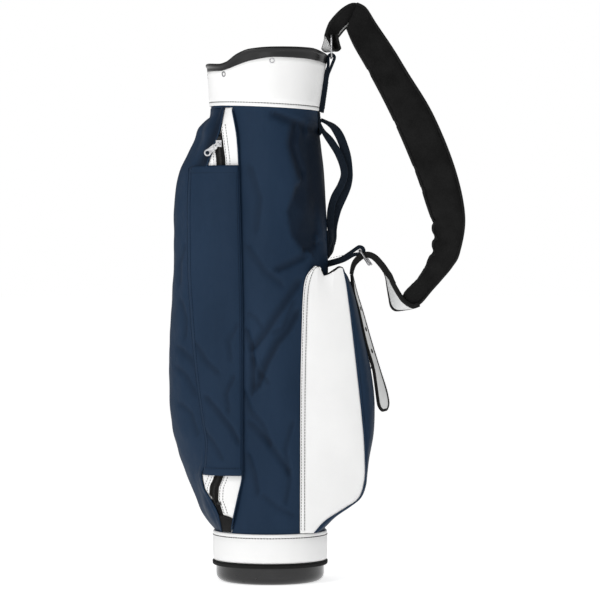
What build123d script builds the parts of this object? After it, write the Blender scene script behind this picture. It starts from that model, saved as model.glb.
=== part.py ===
"""Single-strap golf carry bag, standing upright on its base cup.

Millimetres. +Z is up the bag, the origin is the centre of the base cup's flat foot. The carry handle, the
shoulder strap and the ball pocket are on the +X side; the apparel pocket and umbrella sleeve are on the -X side,
with their openings towards -Y. The collar leans a little, as it does on a soft bag.
"""
from build123d import *
import os
from math import atan2, cos, degrees, hypot, radians, sin

OUT = "parts"
GAP = 0.1  # between pieces of one body that lie against each other
MOVE_GAP = 0.4  # between pieces of two bodies

# ---------------------------------------------------------------- driving dimensions
TUBE_R = 95.0
FABRIC = 1.6  # coated nylon with its lining
VINYL = 2.0  # vinyl with its backing
DEEP = 160.0  # half the width of any cutting prism

BASE_CUP_R = 90.4
BASE_CORNER_R = 14.0
BASE_WALL = 3.2
BASE_CUP_TOP = 74.0
TRIM_Z = (28.0, 36.5)
BASE_CUFF_R = 95.9
BASE_CUFF_WALL = 3.6  # vinyl over foam
BASE_CUFF_TOP = 85.0

COLLAR_X, COLLAR_Z, COLLAR_TILT = -9.5, 790.0, 2.5
COLLAR_R, COLLAR_FLARE = 91.3, 0.098  # radius at its lower edge, and growth per millimetre up
COLLAR_TOP = 125.0  # of the blank that the rim and cuff are cut from
RIM_SKIRT = 25.0
RIM_BEAD = 6.5

STAY_R = 3.0
STAY_CIRCLE = 82.0
STAY_ANGLES = (0, 120, 240)

ZIP_X, ZIP_Y = -84.0, -74.0  # the apparel zip's centre line
ZIP_TAPE = 13.0
ZIP_COIL = 5.0
STOP_REACH = 6.0  # from a zip's end to where its coil starts

RING_X, RING_LOW_Z, RING_HIGH_Z = 102.5, 875.5, 912.0
RING_WIRE = 1.7
RING_HALF_WIDTH = 21.5

STRAP_THICK = 6.5
LEAD_HALF_WIDTH = 16.0

# A moving strap is parted from its sewn ends on planes square to its swing axis.
SWING_TOP, SWING_LOW = (108.0, 923.0), (207.5, 497.0)
HANDLE_TOP, HANDLE_LOW = (111.0, 728.0), (111.0, 641.0)

collar = Location((COLLAR_X, 0, COLLAR_Z), (0, COLLAR_TILT, 0))


# ---------------------------------------------------------------- helpers
def write(name, shape):
    """Writes one sub-part."""
    export_step(Compound(children=shape.solids()), f"{OUT}/{name}.step")


def at(x, z):
    return Vector(x, 0, z)


def curve(*points):
    """A smooth curve in the XZ plane."""
    return Spline(*[at(*p) for p in points])


def path(*points):
    """Straight runs in the XZ plane."""
    return Polyline(*[at(*p) for p in points])


def side_face(*edges):
    """A face in the XZ plane, bounded by these curves end to end."""
    pieces = [e for line in edges for e in line.edges()]
    return Face(Wire(pieces))


def across(face, y0, y1):
    """An XZ face carried from y0 to y1."""
    return extrude(face.moved(Location((0, y0, 0))), amount=y1 - y0, dir=(0, 1, 0))


def plan_face(*edges):
    pieces = [e for line in edges for e in line.edges()]
    return Face(Wire(pieces))


def upright(face, z0, z1):
    """An XY face carried from z0 to z1."""
    return extrude(face.moved(Location((0, 0, z0))), amount=z1 - z0, dir=(0, 0, 1))


def block(x0, x1, y0, y1, z0, z1):
    return Pos((x0 + x1) / 2, (y0 + y1) / 2, (z0 + z1) / 2) * Box(x1 - x0, y1 - y0, z1 - z0)


def rod(start, end, radius):
    """A round bar between two points."""
    a, b = Vector(*start), Vector(*end)
    length = (b - a).length
    place = Plane(origin=a, z_dir=(b - a).normalized())
    return place * Cylinder(radius, length, align=(Align.CENTER, Align.CENTER, Align.MIN))


def cross_bar(x, z, radius, y0, y1):
    return rod((x, y0, z), (x, y1, z), radius)


def ribbon(points, thickness, y0, y1):
    """A strap seen on edge: a smooth centre line in XZ given a thickness, then a width along Y."""
    line = curve(*points)
    half = thickness / 2
    left, right = [], []
    count = 2 * len(points)
    for i in range(count + 1):
        t = i / count
        p, d = line.position_at(t), line.tangent_at(t)
        left.append((p.X - d.Z * half, p.Z + d.X * half))
        right.append((p.X + d.Z * half, p.Z - d.X * half))
    outline = side_face(curve(*left), path(left[-1], right[-1]), curve(*right), path(right[0], left[0]))
    return across(outline, y0, y1)


def half_space(top, low, at_point, side):
    """Everything on one side of the plane that is square to the line low-top and passes at_point."""
    up = Vector(top[0] - low[0], 0, top[1] - low[1]).normalized()
    place = Plane(origin=Vector(at_point[0], 0, at_point[1]), z_dir=up)
    low_or_high = Align.MIN if side > 0 else Align.MAX
    return place * Box(900, 900, 900, align=(Align.CENTER, Align.CENTER, low_or_high))


# ---------------------------------------------------------------- the tube of the bag
# centre x, height and radius of each section
TUBE_SECTIONS = (
    (0, 42, 92.0), (0, 85, 92.6), (0, 180, 94.5), (0.5, 330, 95.5), (1.5, 520, 96.0),
    (-2.5, 670, 94.2), (-8.4, 768, 90.2),
)
TUBE_COLLAR_HEIGHTS = (4.0, 30.0)  # its last two sections, in the collar's own frame


def tube(inset):
    """The tube of the bag as a closed loft, made smaller by inset."""
    faces = [Pos(x, 0, z) * Circle(r - inset) for x, z, r in TUBE_SECTIONS]
    for z in TUBE_COLLAR_HEIGHTS:
        radius = COLLAR_R - VINYL - 0.2 + COLLAR_FLARE * z
        faces.append(collar * Pos(0, 0, z) * Circle(radius - inset))
    return loft(faces, ruled=True)


tube_outer = tube(0)
tube_inner = tube(FABRIC)
tube_clear = tube(-GAP)


def clear_of_tube(shape):
    return shape - tube_clear


# ---------------------------------------------------------------- base
def make_base_cup():
    """A moulded cup with a rounded foot, an upstand inside the tube and three stay sockets."""
    upstand = TUBE_SECTIONS[0][2] - FABRIC - 0.2
    inner = upstand - BASE_WALL
    outline = Polyline(
        (0, 4.5), (0, 0), (BASE_CUP_R - BASE_CORNER_R, 0),
    )
    corner = CenterArc((BASE_CUP_R - BASE_CORNER_R, BASE_CORNER_R), BASE_CORNER_R, -90, 90)
    rest = Polyline(
        (BASE_CUP_R, BASE_CORNER_R), (BASE_CUP_R, TRIM_Z[1]), (upstand, TRIM_Z[1] + 2),
        (upstand, BASE_CUP_TOP), (inner, BASE_CUP_TOP), (inner, 12),
    )
    inside = CenterArc((inner - 7.5, 12), 7.5, -90, 90)
    floor = Line((inner - 7.5, 4.5), (0, 4.5))
    profile = Face(Wire([e for c in (outline, corner, rest, inside, floor) for e in c.edges()]))
    cup = revolve(Plane.XZ * profile, Axis.Z)
    cup -= Cylinder(56, 2.4) - Cylinder(51, 2.4)
    for low, high in stay_lines():
        cup += rod(low, along(low, high, 26), 6.0)
    for low, high in stay_lines():
        cup -= rod(low, high, STAY_R + GAP)
    return cup


def along(low, high, distance):
    """The point this far from low towards high."""
    a, b = Vector(*low), Vector(*high)
    p = a + (b - a).normalized() * distance
    return (p.X, p.Y, p.Z)


def stay_lines():
    """The ends of the three stay rods, from the base cup to the collar."""
    lines = []
    for angle in STAY_ANGLES:
        x, y = STAY_CIRCLE * cos(radians(angle)), STAY_CIRCLE * sin(radians(angle))
        top = (collar * Pos(x, y, 52)).position
        lines.append(((x, y, 4.5), (top.X, top.Y, top.Z)))
    return lines


def make_stay_rods():
    return Compound(children=[rod(along(lo, hi, 0.2), hi, STAY_R) for lo, hi in stay_lines()])


def make_stay_sleeves():
    """Fabric sleeves that hold the rods against the lining."""
    sleeves = []
    for lo, hi in stay_lines():
        start, end = along(lo, hi, 90), along(lo, hi, 690)
        sleeves.append(rod(start, end, STAY_R + 1.6) - rod(lo, hi, STAY_R + GAP))
    return Compound(children=sleeves)


def ring_band(r_in, r_out, z0, z1):
    height = z1 - z0
    return Pos(0, 0, (z0 + z1) / 2) * (Cylinder(r_out, height) - Cylinder(r_in, height))


def make_base_trim():
    """The folded binding round the lower edge of the base cuff."""
    ring = ring_band(BASE_CUP_R + GAP, BASE_CUFF_R + 0.6, TRIM_Z[0], TRIM_Z[1])
    outer = [e for e in ring.edges().filter_by(GeomType.CIRCLE) if e.radius > BASE_CUFF_R]
    return fillet(outer, 2.2) - tube_clear


def make_base_cuff():
    band = ring_band(BASE_CUFF_R - BASE_CUFF_WALL, BASE_CUFF_R, TRIM_Z[1], BASE_CUFF_TOP)
    return band - tube_clear


# ---------------------------------------------------------------- collar
def collar_shell(inner_offset, outer_offset, z0=0.0):
    """A flared ring about the collar's own axis; offsets are from the cuff's outer face."""
    def cone(offset):
        r = COLLAR_R + offset
        return Pos(0, 0, z0) * Cone(
            r + COLLAR_FLARE * z0, r + COLLAR_FLARE * COLLAR_TOP, COLLAR_TOP - z0,
            align=(Align.CENTER, Align.CENTER, Align.MIN),
        )
    return cone(outer_offset) - cone(inner_offset)


def below_rim_top():
    """Everything under the rim's upper edge: a low lip at -X, and a hump along each side."""
    lip = path((-120, 71.0), (-71, 68.5))
    hump = curve((-71, 68.5), (-48, 85.5), (-30, 93.2), (12, 98.6), (72, 102.0), (100, 93.0), (120, 78.0))
    rest = path((120, 78.0), (120, -60), (-120, -60), (-120, 71.0))
    return across(side_face(lip, hump, rest), -DEEP, DEEP)


def below_rim_foot():
    """Everything under the rim's lower edge, where the cuff meets it."""
    lip = path((-120, 56.5), (-70, 57.0))
    hump = curve((-70, 57.0), (-46, 66.0), (-22, 74.6), (18, 81.6), (62, 82.4), (120, 75.0))
    rest = path((120, 75.0), (120, -60), (-120, -60), (-120, 56.5))
    return across(side_face(lip, hump, rest), -DEEP, DEEP)


def lowered(shape, drop):
    return shape.moved(Location((0, 0, -drop)))


def make_top_rim():
    """The moulded rim: a band, a bead along its upper edge and a skirt inside the cuff."""
    top, foot = below_rim_top(), below_rim_foot()
    band = (collar_shell(-4.6, 1.2, 20) & top) - foot
    bead = (collar_shell(-4.6, 3.6, 20) & top) - lowered(top, RIM_BEAD)
    skirt = (collar_shell(-4.6, -VINYL - GAP, 20) & top) - lowered(foot, RIM_SKIRT)
    rim = band + bead + skirt
    reach = COLLAR_R + 40 * COLLAR_FLARE - VINYL - 1.0
    for angle in STAY_ANGLES:
        rim += Rot(0, 0, angle) * block(STAY_CIRCLE - 6, reach, -6, 6, 40, 58)
    rim = collar * rim
    for lo, hi in stay_lines():
        rim -= rod(lo, along(lo, hi, 900), STAY_R + GAP)
    return rim


def make_top_cuff():
    band = collar_shell(-VINYL, 0) & below_rim_foot()
    cuff = collar * band
    return cuff - tube_clear


CUFF_RIVET_ANGLES = (-135, -84, 84, 135, 180)


def cuff_rivet_height(angle):
    """Each rivet sits just under the rim's lower edge."""
    heights = {180: 50.5, 135: 51.5, 84: 75.5, 36: 75.0}
    return heights[abs(angle)]


def make_cuff_rivets():
    """Tubular rivets through the cuff and the rim's skirt."""
    rivets = []
    for angle in CUFF_RIVET_ANGLES:
        z = cuff_rivet_height(angle)
        r = COLLAR_R + COLLAR_FLARE * z
        flange = Cylinder(4.7, 0.9, align=(Align.CENTER, Align.CENTER, Align.MIN)) - Cylinder(2.4, 4)
        barrel = Pos(0, 0, -6.4) * (
            Cylinder(2.9, 7.0, align=(Align.CENTER, Align.CENTER, Align.MIN))
            - Cylinder(2.4, 7.0, align=(Align.CENTER, Align.CENTER, Align.MIN))
        )
        place = Rot(0, 0, angle) * Pos(r + 0.15, 0, z) * Rot(0, 90 + degrees(atan2(COLLAR_FLARE, 1)), 0)
        rivets.append(place * (flange + barrel))
    return collar * Compound(children=rivets)


def rivet_holes(radius):
    holes = []
    for angle in CUFF_RIVET_ANGLES:
        z = cuff_rivet_height(angle)
        r = COLLAR_R + COLLAR_FLARE * z
        place = Rot(0, 0, angle) * Pos(r, 0, z) * Rot(0, 90 + degrees(atan2(COLLAR_FLARE, 1)), 0)
        holes.append(place * Cylinder(radius, 16))
    return [collar * h for h in holes]


def make_divider_bar():
    """The stiff bar across the mouth that parts the clubs, ending on the rim's skirt."""
    reach = COLLAR_R + COLLAR_FLARE * 66 - 4.6 - 1.5
    bar = Box(5, 2 * reach, 18)
    return collar * Pos(0, 0, 66) * (bar & Cylinder(reach, 40))


def make_divider_sleeve():
    """Padded fleece wrapped round the divider bar."""
    outer = fillet(Box(13, 170, 27).edges().filter_by(Axis.Y), 6)
    inner = Box(5 + 2 * GAP, 180, 18 + 2 * GAP)
    return collar * Pos(0, 0, 66) * (outer - inner)


# ---------------------------------------------------------------- strap ring and its tab
def make_strap_ring():
    """A rectangular wire ring standing in the tab's loop."""
    half_y = RING_HALF_WIDTH
    z0, z1 = RING_LOW_Z, RING_HIGH_Z
    corner = 6.0
    loop = FilletPolyline(
        (RING_X, -half_y, z0), (RING_X, half_y, z0), (RING_X, half_y, z1), (RING_X, -half_y, z1),
        radius=corner, close=True,
    )
    start = Plane(origin=loop @ 0, z_dir=loop % 0)
    return sweep(start * Circle(RING_WIRE), path=loop)


TAB_HALF_WIDTH = 14.0
TAB_LOOP_R = 9.4
TAB_THICK = 3.6


def make_ring_tab():
    """Folded webbing: a loop round the ring's lower bar, then two layers down the cuff."""
    r = COLLAR_R
    # distance off the cuff, and height
    corners = (0.3, 1), (0.3, 71), (1.8, 76), (2.2, 85), (9.5, 85), (6.9, 73), (5.5, 1), (0.3, 1)
    strip = side_face(path(*[(r + off + COLLAR_FLARE * z, z) for off, z in corners]))
    tail = collar * across(strip, -TAB_HALF_WIDTH, TAB_HALF_WIDTH)
    loop = cross_bar(RING_X, RING_LOW_Z, TAB_LOOP_R, -TAB_HALF_WIDTH, TAB_HALF_WIDTH)
    eye = cross_bar(RING_X, RING_LOW_Z, TAB_LOOP_R - TAB_THICK, -TAB_HALF_WIDTH - 1, TAB_HALF_WIDTH + 1)
    top = below_rim_top()
    rim_band = collar_shell(-30, 1.3, 20) & top
    rim_bead = (collar_shell(-30, 3.7, 20) & top) - lowered(top, RIM_BEAD)
    return (loop + tail) - eye - collar * rim_band - collar * rim_bead


# ---------------------------------------------------------------- ball pocket
POCKET_LEAN = 15.3  # the side panels draw in towards the front by this angle
POCKET_Y, POCKET_X = 79.0, 51.0  # where a side panel meets the tube


def ball_side_outline():
    """The white side panel, from its seam on the tube to its front edge."""
    seam = curve((84, 517), (66, 516), (56.5, 497), (54, 460), (51.5, 330), (50.5, 87))
    hem = path((50.5, 87), (73, 87))
    front = curve(
        (73, 87), (92, 107), (125, 126), (148, 142), (158, 178), (154, 266), (138, 410), (121, 524)
    )
    top = path((121, 524), (84, 517))
    return side_face(seam, hem, front, top)


def ball_front_outline(inset):
    """The whole pocket seen from the side, made smaller by inset."""
    i = inset
    front = curve(
        (94, 90 + i), (116 - i * 0.4, 114 + i), (142 - i * 0.6, 130 + i * 0.8), (160.5 - i, 152),
        (166 - i, 205), (175 - i, 290), (170 - i, 345), (140 - i, 470),
        (131 - i * 0.8, 507 - i * 0.6), (121 - i * 0.4, 524 - i),
    )
    back = path((121 - i * 0.4, 524 - i), (84, 517 - i), (40, 500 - i), (40, 90 + i), (94, 90 + i))
    return side_face(front, back)


def pocket_slab(side, outer, inner):
    """The slanting layer that a side panel lies in, measured inwards from its outer face."""
    centre = Pos(POCKET_X, side * POCKET_Y, 300) * Rot(0, 0, -side * POCKET_LEAN)
    depth = inner - outer
    return centre * Pos(60, -side * (outer + depth / 2), 0) * Box(340, depth, 700)


def within_pocket_width(inset):
    """The wedge between the two side panels' outer faces, less inset on each."""
    wedge = block(0, 260, -DEEP, DEEP, 0, 700)
    for side in (-1, 1):
        wedge -= pocket_slab(side, -200, inset)
    return wedge


def make_ball_side(side):
    panel = across(ball_side_outline(), -DEEP, DEEP) & pocket_slab(side, 0, VINYL)
    return clear_of_tube(panel & block(0, 260, min(0, side * DEEP), max(0, side * DEEP), 0, 700))


def make_ball_front():
    """The nylon front, which wraps from one side panel's edge round to the other's."""
    outer = across(ball_front_outline(0), -DEEP, DEEP) & within_pocket_width(0)
    inner = across(ball_front_outline(FABRIC), -DEEP, DEEP) & within_pocket_width(VINYL)
    shell = outer - inner
    for side in (-1, 1):
        shell -= across(ball_side_outline(), -DEEP, DEEP) & pocket_slab(side, -1, VINYL + GAP)
    shell = clear_of_tube(shell) & block(62, 300, -DEEP, DEEP, BASE_CUFF_TOP + 1, 700)
    return shell - ball_zip_slot()


BALL_ZIP_TOP, BALL_ZIP_LOW = (132.2, 500.0), (167.5, 352.0)
BALL_ZIP_Y = 27.0  # beside the strap's tail
BALL_ZIP_LEAN = degrees(atan2(BALL_ZIP_LOW[0] - BALL_ZIP_TOP[0], BALL_ZIP_TOP[1] - BALL_ZIP_LOW[1]))
BALL_ZIP_LENGTH = hypot(BALL_ZIP_LOW[0] - BALL_ZIP_TOP[0], BALL_ZIP_TOP[1] - BALL_ZIP_LOW[1])


def ball_zip_frame():
    """Origin at the zip's top end; -Z runs down the zip and +X points out of the pocket."""
    return Location((BALL_ZIP_TOP[0], BALL_ZIP_Y, BALL_ZIP_TOP[1]), (0, -BALL_ZIP_LEAN, 0))


def ball_zip_slot():
    return ball_zip_frame() * block(-14, 14, -ZIP_TAPE / 2, ZIP_TAPE / 2, -BALL_ZIP_LENGTH, 0)


def make_ball_zip_tape():
    half = ZIP_TAPE / 2 - GAP
    return ball_zip_frame() * block(0.4, 2.0, -half, half, -BALL_ZIP_LENGTH + GAP, -GAP)


def make_ball_zip_coil():
    half = ZIP_COIL / 2
    return ball_zip_frame() * block(2.1, 3.7, -half, half, -BALL_ZIP_LENGTH + STOP_REACH, -STOP_REACH)


def make_ball_zip_stops():
    top = block(2.1, 4.6, -3.2, 3.2, -5, -1)
    low = block(2.1, 4.6, -3.2, 3.2, -BALL_ZIP_LENGTH + 1, -BALL_ZIP_LENGTH + 5)
    return ball_zip_frame() * Compound(children=[top, low])


# ---------------------------------------------------------------- zip slider and puller
SLIDER_LENGTH = 11.0
SLIDER_WIDTH = 9.5


def slider_shape(coil_base, coil_top, turn):
    """A slider astride the coil, its bail turned to its puller. +X is out of the zip, -Z down it."""
    half = SLIDER_WIDTH / 2
    body = block(coil_top + 0.3, coil_top + 1.8, -half, half, -SLIDER_LENGTH, 0)
    for y in (-half, half - 1.4):
        body += block(coil_base + 0.2, coil_top + 1.8, y, y + 1.4, -SLIDER_LENGTH, 0)
    bail = block(coil_top + 1.8, coil_top + 6.6, -1.0, 1.0, -2.6, 2.6)
    bail -= cross_bar(coil_top + 4.3, 0, 1.5, -3, 3)
    return body + Pos(0, 0, -SLIDER_LENGTH / 2) * Rot(turn, 0, 0) * bail


def puller_shape(coil_top, length, turn):
    """A stamped puller: a pin through the bail's eye, a plate and a finger hole."""
    puller = cross_bar(0, 0, 1.2, -3.4, 3.4) + block(-1.0, 1.0, -4.6, 4.6, -length, -7)
    for y in (-3.4, 1.8):
        puller += block(-1.0, 1.0, y, y + 1.6, -7, 0.9)
    end = Pos(0, 0, -length) * Rot(0, 90, 0)
    puller += end * Cylinder(5.6, 2.0)
    puller -= end * Cylinder(3.4, 8.0)
    return Pos(coil_top + 4.3, 0, -SLIDER_LENGTH / 2) * Rot(turn, 0, 0) * puller


BALL_SLIDER_Z = -7.0  # below the zip's top stop
BALL_PULL = 20.0


def make_ball_slider():
    return ball_zip_frame() * Pos(0, 0, BALL_SLIDER_Z) * slider_shape(2.1, 3.7, 0)


def make_ball_puller():
    return ball_zip_frame() * Pos(0, 0, BALL_SLIDER_Z) * puller_shape(3.7, BALL_PULL, 0)


# ---------------------------------------------------------------- apparel pocket
def apparel_side_outline(inset):
    """The pocket seen from the -Y side."""
    i = inset
    bulge = curve(
        (-97, 789 - i), (-107 + i, 770 - i * 0.7), (-125 + i, 738), (-150 + i, 687), (-160.5 + i, 600),
        (-166 + i, 450), (-170 + i, 345), (-162 + i, 250), (-140 + i, 180), (-115 + i, 117), (-93, 87 + i),
    )
    back = path((-93, 87 + i), (-30, 87 + i), (-30, 789 - i), (-97, 789 - i))
    return side_face(bulge, back)


def apparel_plan_outline(inset):
    """The pocket seen from above: flattest where the zip runs."""
    i = inset
    edge = curve(
        (-48, -84 + i), (ZIP_X + 12, ZIP_Y - 2.5 + i), (ZIP_X - 6, ZIP_Y + 1.2 + i), (-120, -62 + i),
        (-154 + i, -36), (-170 + i, 2), (-154 + i, 42), (-112 + i, 66 - i), (-62, 76 - i),
    )
    back = path((-62, 76 - i), (-20, 40), (-20, -40), (-48, -84 + i))
    return plan_face(Spline(*[Vector(p.X, p.Z, 0) for p in sample(edge, 14)]), flat_plan(back))


def sample(line, count):
    return [line.position_at(k / count) for k in range(count + 1)]


def flat_plan(line):
    """An XZ polyline laid into XY."""
    return Polyline(*[Vector(v.X, v.Z, 0) for v in line.vertices()])


def apparel_front_outline(inset):
    """The pocket seen from the -X side: it swells out of the collar and back into the base cuff."""
    i = inset
    front = Spline(*[Vector(0, y, z) for y, z in (
        (-48 + i, 789 - i), (-66 + i, 768 - i), (-79 + i, 742), (-86 + i, 690))])
    wall = Polyline(Vector(0, -86 + i, 690), Vector(0, -86 + i, 150))
    foot = Spline(*[Vector(0, y, z) for y, z in ((-86 + i, 150), (-76 + i, 112), (-52 + i, 87 + i))])
    far = Polyline(*[Vector(0, y, z) for y, z in (
        (-52 + i, 87 + i), (70 - i, 87 + i), (90 - i, 160),
        (90 - i, 700), (60 - i, 789 - i), (-48 + i, 789 - i))])
    return Face(Wire([e for c in (front, wall, foot, far) for e in c.edges()]))


def apparel_envelope(inset):
    side = across(apparel_side_outline(inset), -DEEP, DEEP)
    plan = upright(apparel_plan_outline(inset), 60, 830)
    front = extrude(apparel_front_outline(inset).moved(Location((-220, 0, 0))), amount=260, dir=(1, 0, 0))
    return side & plan & front


def vinyl_outline():
    """The almond of vinyl that holds the zip, from collar to base cuff and up to the tube's seam."""
    left = curve(
        (-72, 86), (-104, 150), (-118, 250), (-126, 430), (-122, 650), (-104, 740), (-77, 790),
    )
    return side_face(path((-77, 790), (-25, 790), (-25, 86), (-72, 86)), left)


def near_side():
    return block(-260, 60, -DEEP, -20, 0, 830)


APPAREL_ZIP_TOP, APPAREL_ZIP_LOW = 742.0, 132.0


def apparel_zip_slot():
    return block(ZIP_X - ZIP_TAPE / 2, ZIP_X + ZIP_TAPE / 2, -120, -55, APPAREL_ZIP_LOW, APPAREL_ZIP_TOP)


apparel_shell = clear_of_tube(apparel_envelope(0) - apparel_envelope(VINYL))
vinyl_prism = across(vinyl_outline(), -DEEP, DEEP) & near_side()


def make_apparel_vinyl():
    return (apparel_shell & vinyl_prism) - apparel_zip_slot()


def make_apparel_panel():
    return apparel_shell - vinyl_prism


def make_apparel_zip_tape():
    half = ZIP_TAPE / 2 - GAP
    low, top = APPAREL_ZIP_LOW + GAP, APPAREL_ZIP_TOP - GAP
    return block(ZIP_X - half, ZIP_X + half, ZIP_Y - 0.4, ZIP_Y + 1.2, low, top)


def make_apparel_zip_coil():
    half = ZIP_COIL / 2
    low, top = APPAREL_ZIP_LOW + STOP_REACH, APPAREL_ZIP_TOP - STOP_REACH
    return block(ZIP_X - half, ZIP_X + half, ZIP_Y - 2.1, ZIP_Y - 0.5, low, top)


def make_apparel_zip_stops():
    stops = [
        block(ZIP_X - 3.2, ZIP_X + 3.2, ZIP_Y - 3.0, ZIP_Y - 0.5, z, z + 4)
        for z in (APPAREL_ZIP_LOW + 1, APPAREL_ZIP_TOP - 5)
    ]
    return Compound(children=stops)


def apparel_zip_frame():
    """The slider's frame: +X of the slider turned to face out along -Y."""
    return Location((ZIP_X, ZIP_Y, APPAREL_ZIP_TOP), (0, 0, -90))


APPAREL_SLIDER_Z = -7.0
APPAREL_PULL = 24.0
APPAREL_PULL_TURN = -50.0  # it lies off to the -X side


def make_apparel_slider():
    return apparel_zip_frame() * Pos(0, 0, APPAREL_SLIDER_Z) * slider_shape(0.5, 2.1, APPAREL_PULL_TURN)


def make_apparel_puller():
    puller = puller_shape(2.1, APPAREL_PULL, APPAREL_PULL_TURN)
    return apparel_zip_frame() * Pos(0, 0, APPAREL_SLIDER_Z) * puller


# ---------------------------------------------------------------- umbrella sleeve
SLEEVE_Z = (182.0, 695.0)
SLEEVE_STAND = 15.0  # how far the sleeve stands off the zip


def make_umbrella_sleeve():
    """A nylon sleeve over the middle of the zip, sewn down both sides, open above and below."""
    outer = Spline((-49, -84.6), (-60, -92.5), (ZIP_X, ZIP_Y - SLEEVE_STAND - 4), (-114, -89), (-137, -57))
    middle = (ZIP_X, ZIP_Y - SLEEVE_STAND - 4 + FABRIC)
    inner = Spline((-51, -83.2), (-61, -90.8), middle, (-113, -87.4), (-135.4, -56.4))
    ends = Line(outer @ 1, inner @ 1), Line(inner @ 0, outer @ 0)
    face = Face(Wire([*outer.edges(), ends[0], *inner.edges(), ends[1]]))
    return upright(face, *SLEEVE_Z) - tube_clear - apparel_envelope(-GAP)


def make_zip_end_tab():
    """The patch that finishes the apparel zip's lower end."""
    patch = block(-90, -66, -DEEP, 0, 90, 122)
    return ((apparel_envelope(-1.4) - apparel_envelope(-GAP)) & patch) - tube_clear


# ---------------------------------------------------------------- carry handle
HANDLE_NEAR_THICK, HANDLE_FAR_THICK = 12.0, 13.0
HANDLE_NEAR_Y, HANDLE_FAR_Y = (-11.0, -2.5), (-1.5, 7.0)
PATCH_THICK = 3.2
UPPER_PATCH_Z, LOWER_PATCH_Z = (748, 780), (545, 585)


def handle_near():
    points = (
        (89, 764), (94, 750), (103, 735.5), (114, 716), (122.5, 694), (124, 678), (118, 661),
        (108.5, 643), (104, 624), (102.5, 608), (102, 593), (102.5, 575), (98, 558),
    )
    return ribbon(points, HANDLE_NEAR_THICK, *HANDLE_NEAR_Y)


def handle_far():
    points = (
        (84, 773), (94, 768), (105.5, 760.5), (115, 748), (122.5, 730.5), (128.5, 710), (131, 688),
        (131, 674), (128, 659), (121.5, 643), (113, 624), (107.5, 605), (105, 587), (105, 569), (99, 555),
    )
    return ribbon(points, HANDLE_FAR_THICK, *HANDLE_FAR_Y)


def handle_middle(gap):
    """The stretch of the handle that swings, between two planes square to its axis."""
    return half_space(HANDLE_TOP, HANDLE_LOW, (HANDLE_LOW[0], HANDLE_LOW[1] + gap), 1) & half_space(
        HANDLE_TOP, HANDLE_LOW, (HANDLE_TOP[0], HANDLE_TOP[1] - gap), -1
    )


def handle_end_patch(z0, z1):
    """Webbing sewn flat to the tube where the two loops start."""
    patch = block(60, 130, HANDLE_NEAR_Y[0] - 2, HANDLE_FAR_Y[1] + 4, z0, z1)
    return (tube(-PATCH_THICK) - tube_clear) & patch


def make_handle_anchors():
    upper = handle_end_patch(*UPPER_PATCH_Z)
    lower = handle_end_patch(*LOWER_PATCH_Z)
    ends = (handle_near() + handle_far()) - handle_middle(0)
    anchors = clear_of_tube(ends) + upper + lower
    return anchors - across(ball_side_outline(), -DEEP, DEEP)


def make_handle_loop(loop):
    return loop & handle_middle(MOVE_GAP)


# ---------------------------------------------------------------- lower tab, buckle and strap tail
BUCKLE = (158.0, 541.0)
BUCKLE_LEAN = 57.0  # the frame's slope, down towards +X
BUCKLE_HALF = 14.0  # half the distance between its two bars
BUCKLE_HALF_WIDTH = 21.0
BUCKLE_WIRE = 1.8
LOWER_TAB_THICK = 6.4  # two layers of webbing
LOWER_TAB_LOOP_R = 8.2
LOWER_TAB_EYE_R = 4.6


def buckle_frame():
    """Origin at the buckle's centre, +X from its heel bar to its outer bar, +Z out of its face."""
    return Location((BUCKLE[0], 0, BUCKLE[1]), (0, BUCKLE_LEAN, 0))


def make_buckle_frame():
    h, w = BUCKLE_HALF, BUCKLE_HALF_WIDTH
    loop = FilletPolyline((-h, -w, 0), (h, -w, 0), (h, w, 0), (-h, w, 0), radius=5.0, close=True)
    start = Plane(origin=loop @ 0, z_dir=loop % 0)
    return buckle_frame() * sweep(start * Circle(BUCKLE_WIRE), path=loop)


def make_buckle_prong():
    """A prong that turns on the heel bar and rests across the outer bar."""
    eye = cross_bar(-BUCKLE_HALF, 0, 3.9, -2.0, 2.0) - cross_bar(-BUCKLE_HALF, 0, BUCKLE_WIRE + 0.08, -3, 3)
    bar = rod((-BUCKLE_HALF + 2.5, 0, 3.3), (BUCKLE_HALF + 3.0, 0, 3.9), 1.5)
    keep_clear = cross_bar(-BUCKLE_HALF, 0, BUCKLE_WIRE + 0.08, -3, 3)
    return buckle_frame() * (eye + bar - keep_clear)


def make_lower_tab():
    """Folded webbing from the tube, looped round the buckle's heel bar."""
    heel = (buckle_frame() * Pos(-BUCKLE_HALF, 0, 0)).position
    reach = (88, 529), (104, 532.5), (122, 537.5), (136, 545), (143.5, 551.5)
    half = TAB_HALF_WIDTH
    eye = cross_bar(heel.X, heel.Z, LOWER_TAB_EYE_R, -half - 1, half + 1)
    strip = ribbon(reach, LOWER_TAB_THICK, -half, half) - eye
    loop = cross_bar(heel.X, heel.Z, LOWER_TAB_LOOP_R, -half, half) - eye
    open_side = buckle_frame() * block(-BUCKLE_HALF - 3, 40, -3.2, 3.2, -12, 14)
    return clear_of_tube(strip + loop - open_side)


def strap_through_buckle():
    """The strap from the swing's lower plane, through the buckle, to where the tail hangs."""
    points = (
        (207.5, 497), (196, 515), (184, 532), (172, 543),
        (160, 544.5), (148, 539), (139.5, 529), (136.3, 513.5),
    )
    return ribbon(points, STRAP_THICK, -LEAD_HALF_WIDTH, LEAD_HALF_WIDTH)


TAIL_PIVOT = (136.5, 512.0)
TAIL_THICK = 4.6
# height, and the inner x of the edges at -Y and +Y
TAIL_SECTIONS = (
    (513, 134.0, 134.0), (500, 134.2, 134.2), (470, 142.0, 143.0),
    (400, 159.4, 164.0), (345, 172.5, 182.0), (284, 178.5, 197.0),
)
TAIL_HOLES = ((455, 146.0), (420, 155.0), (385, 165.0))


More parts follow.
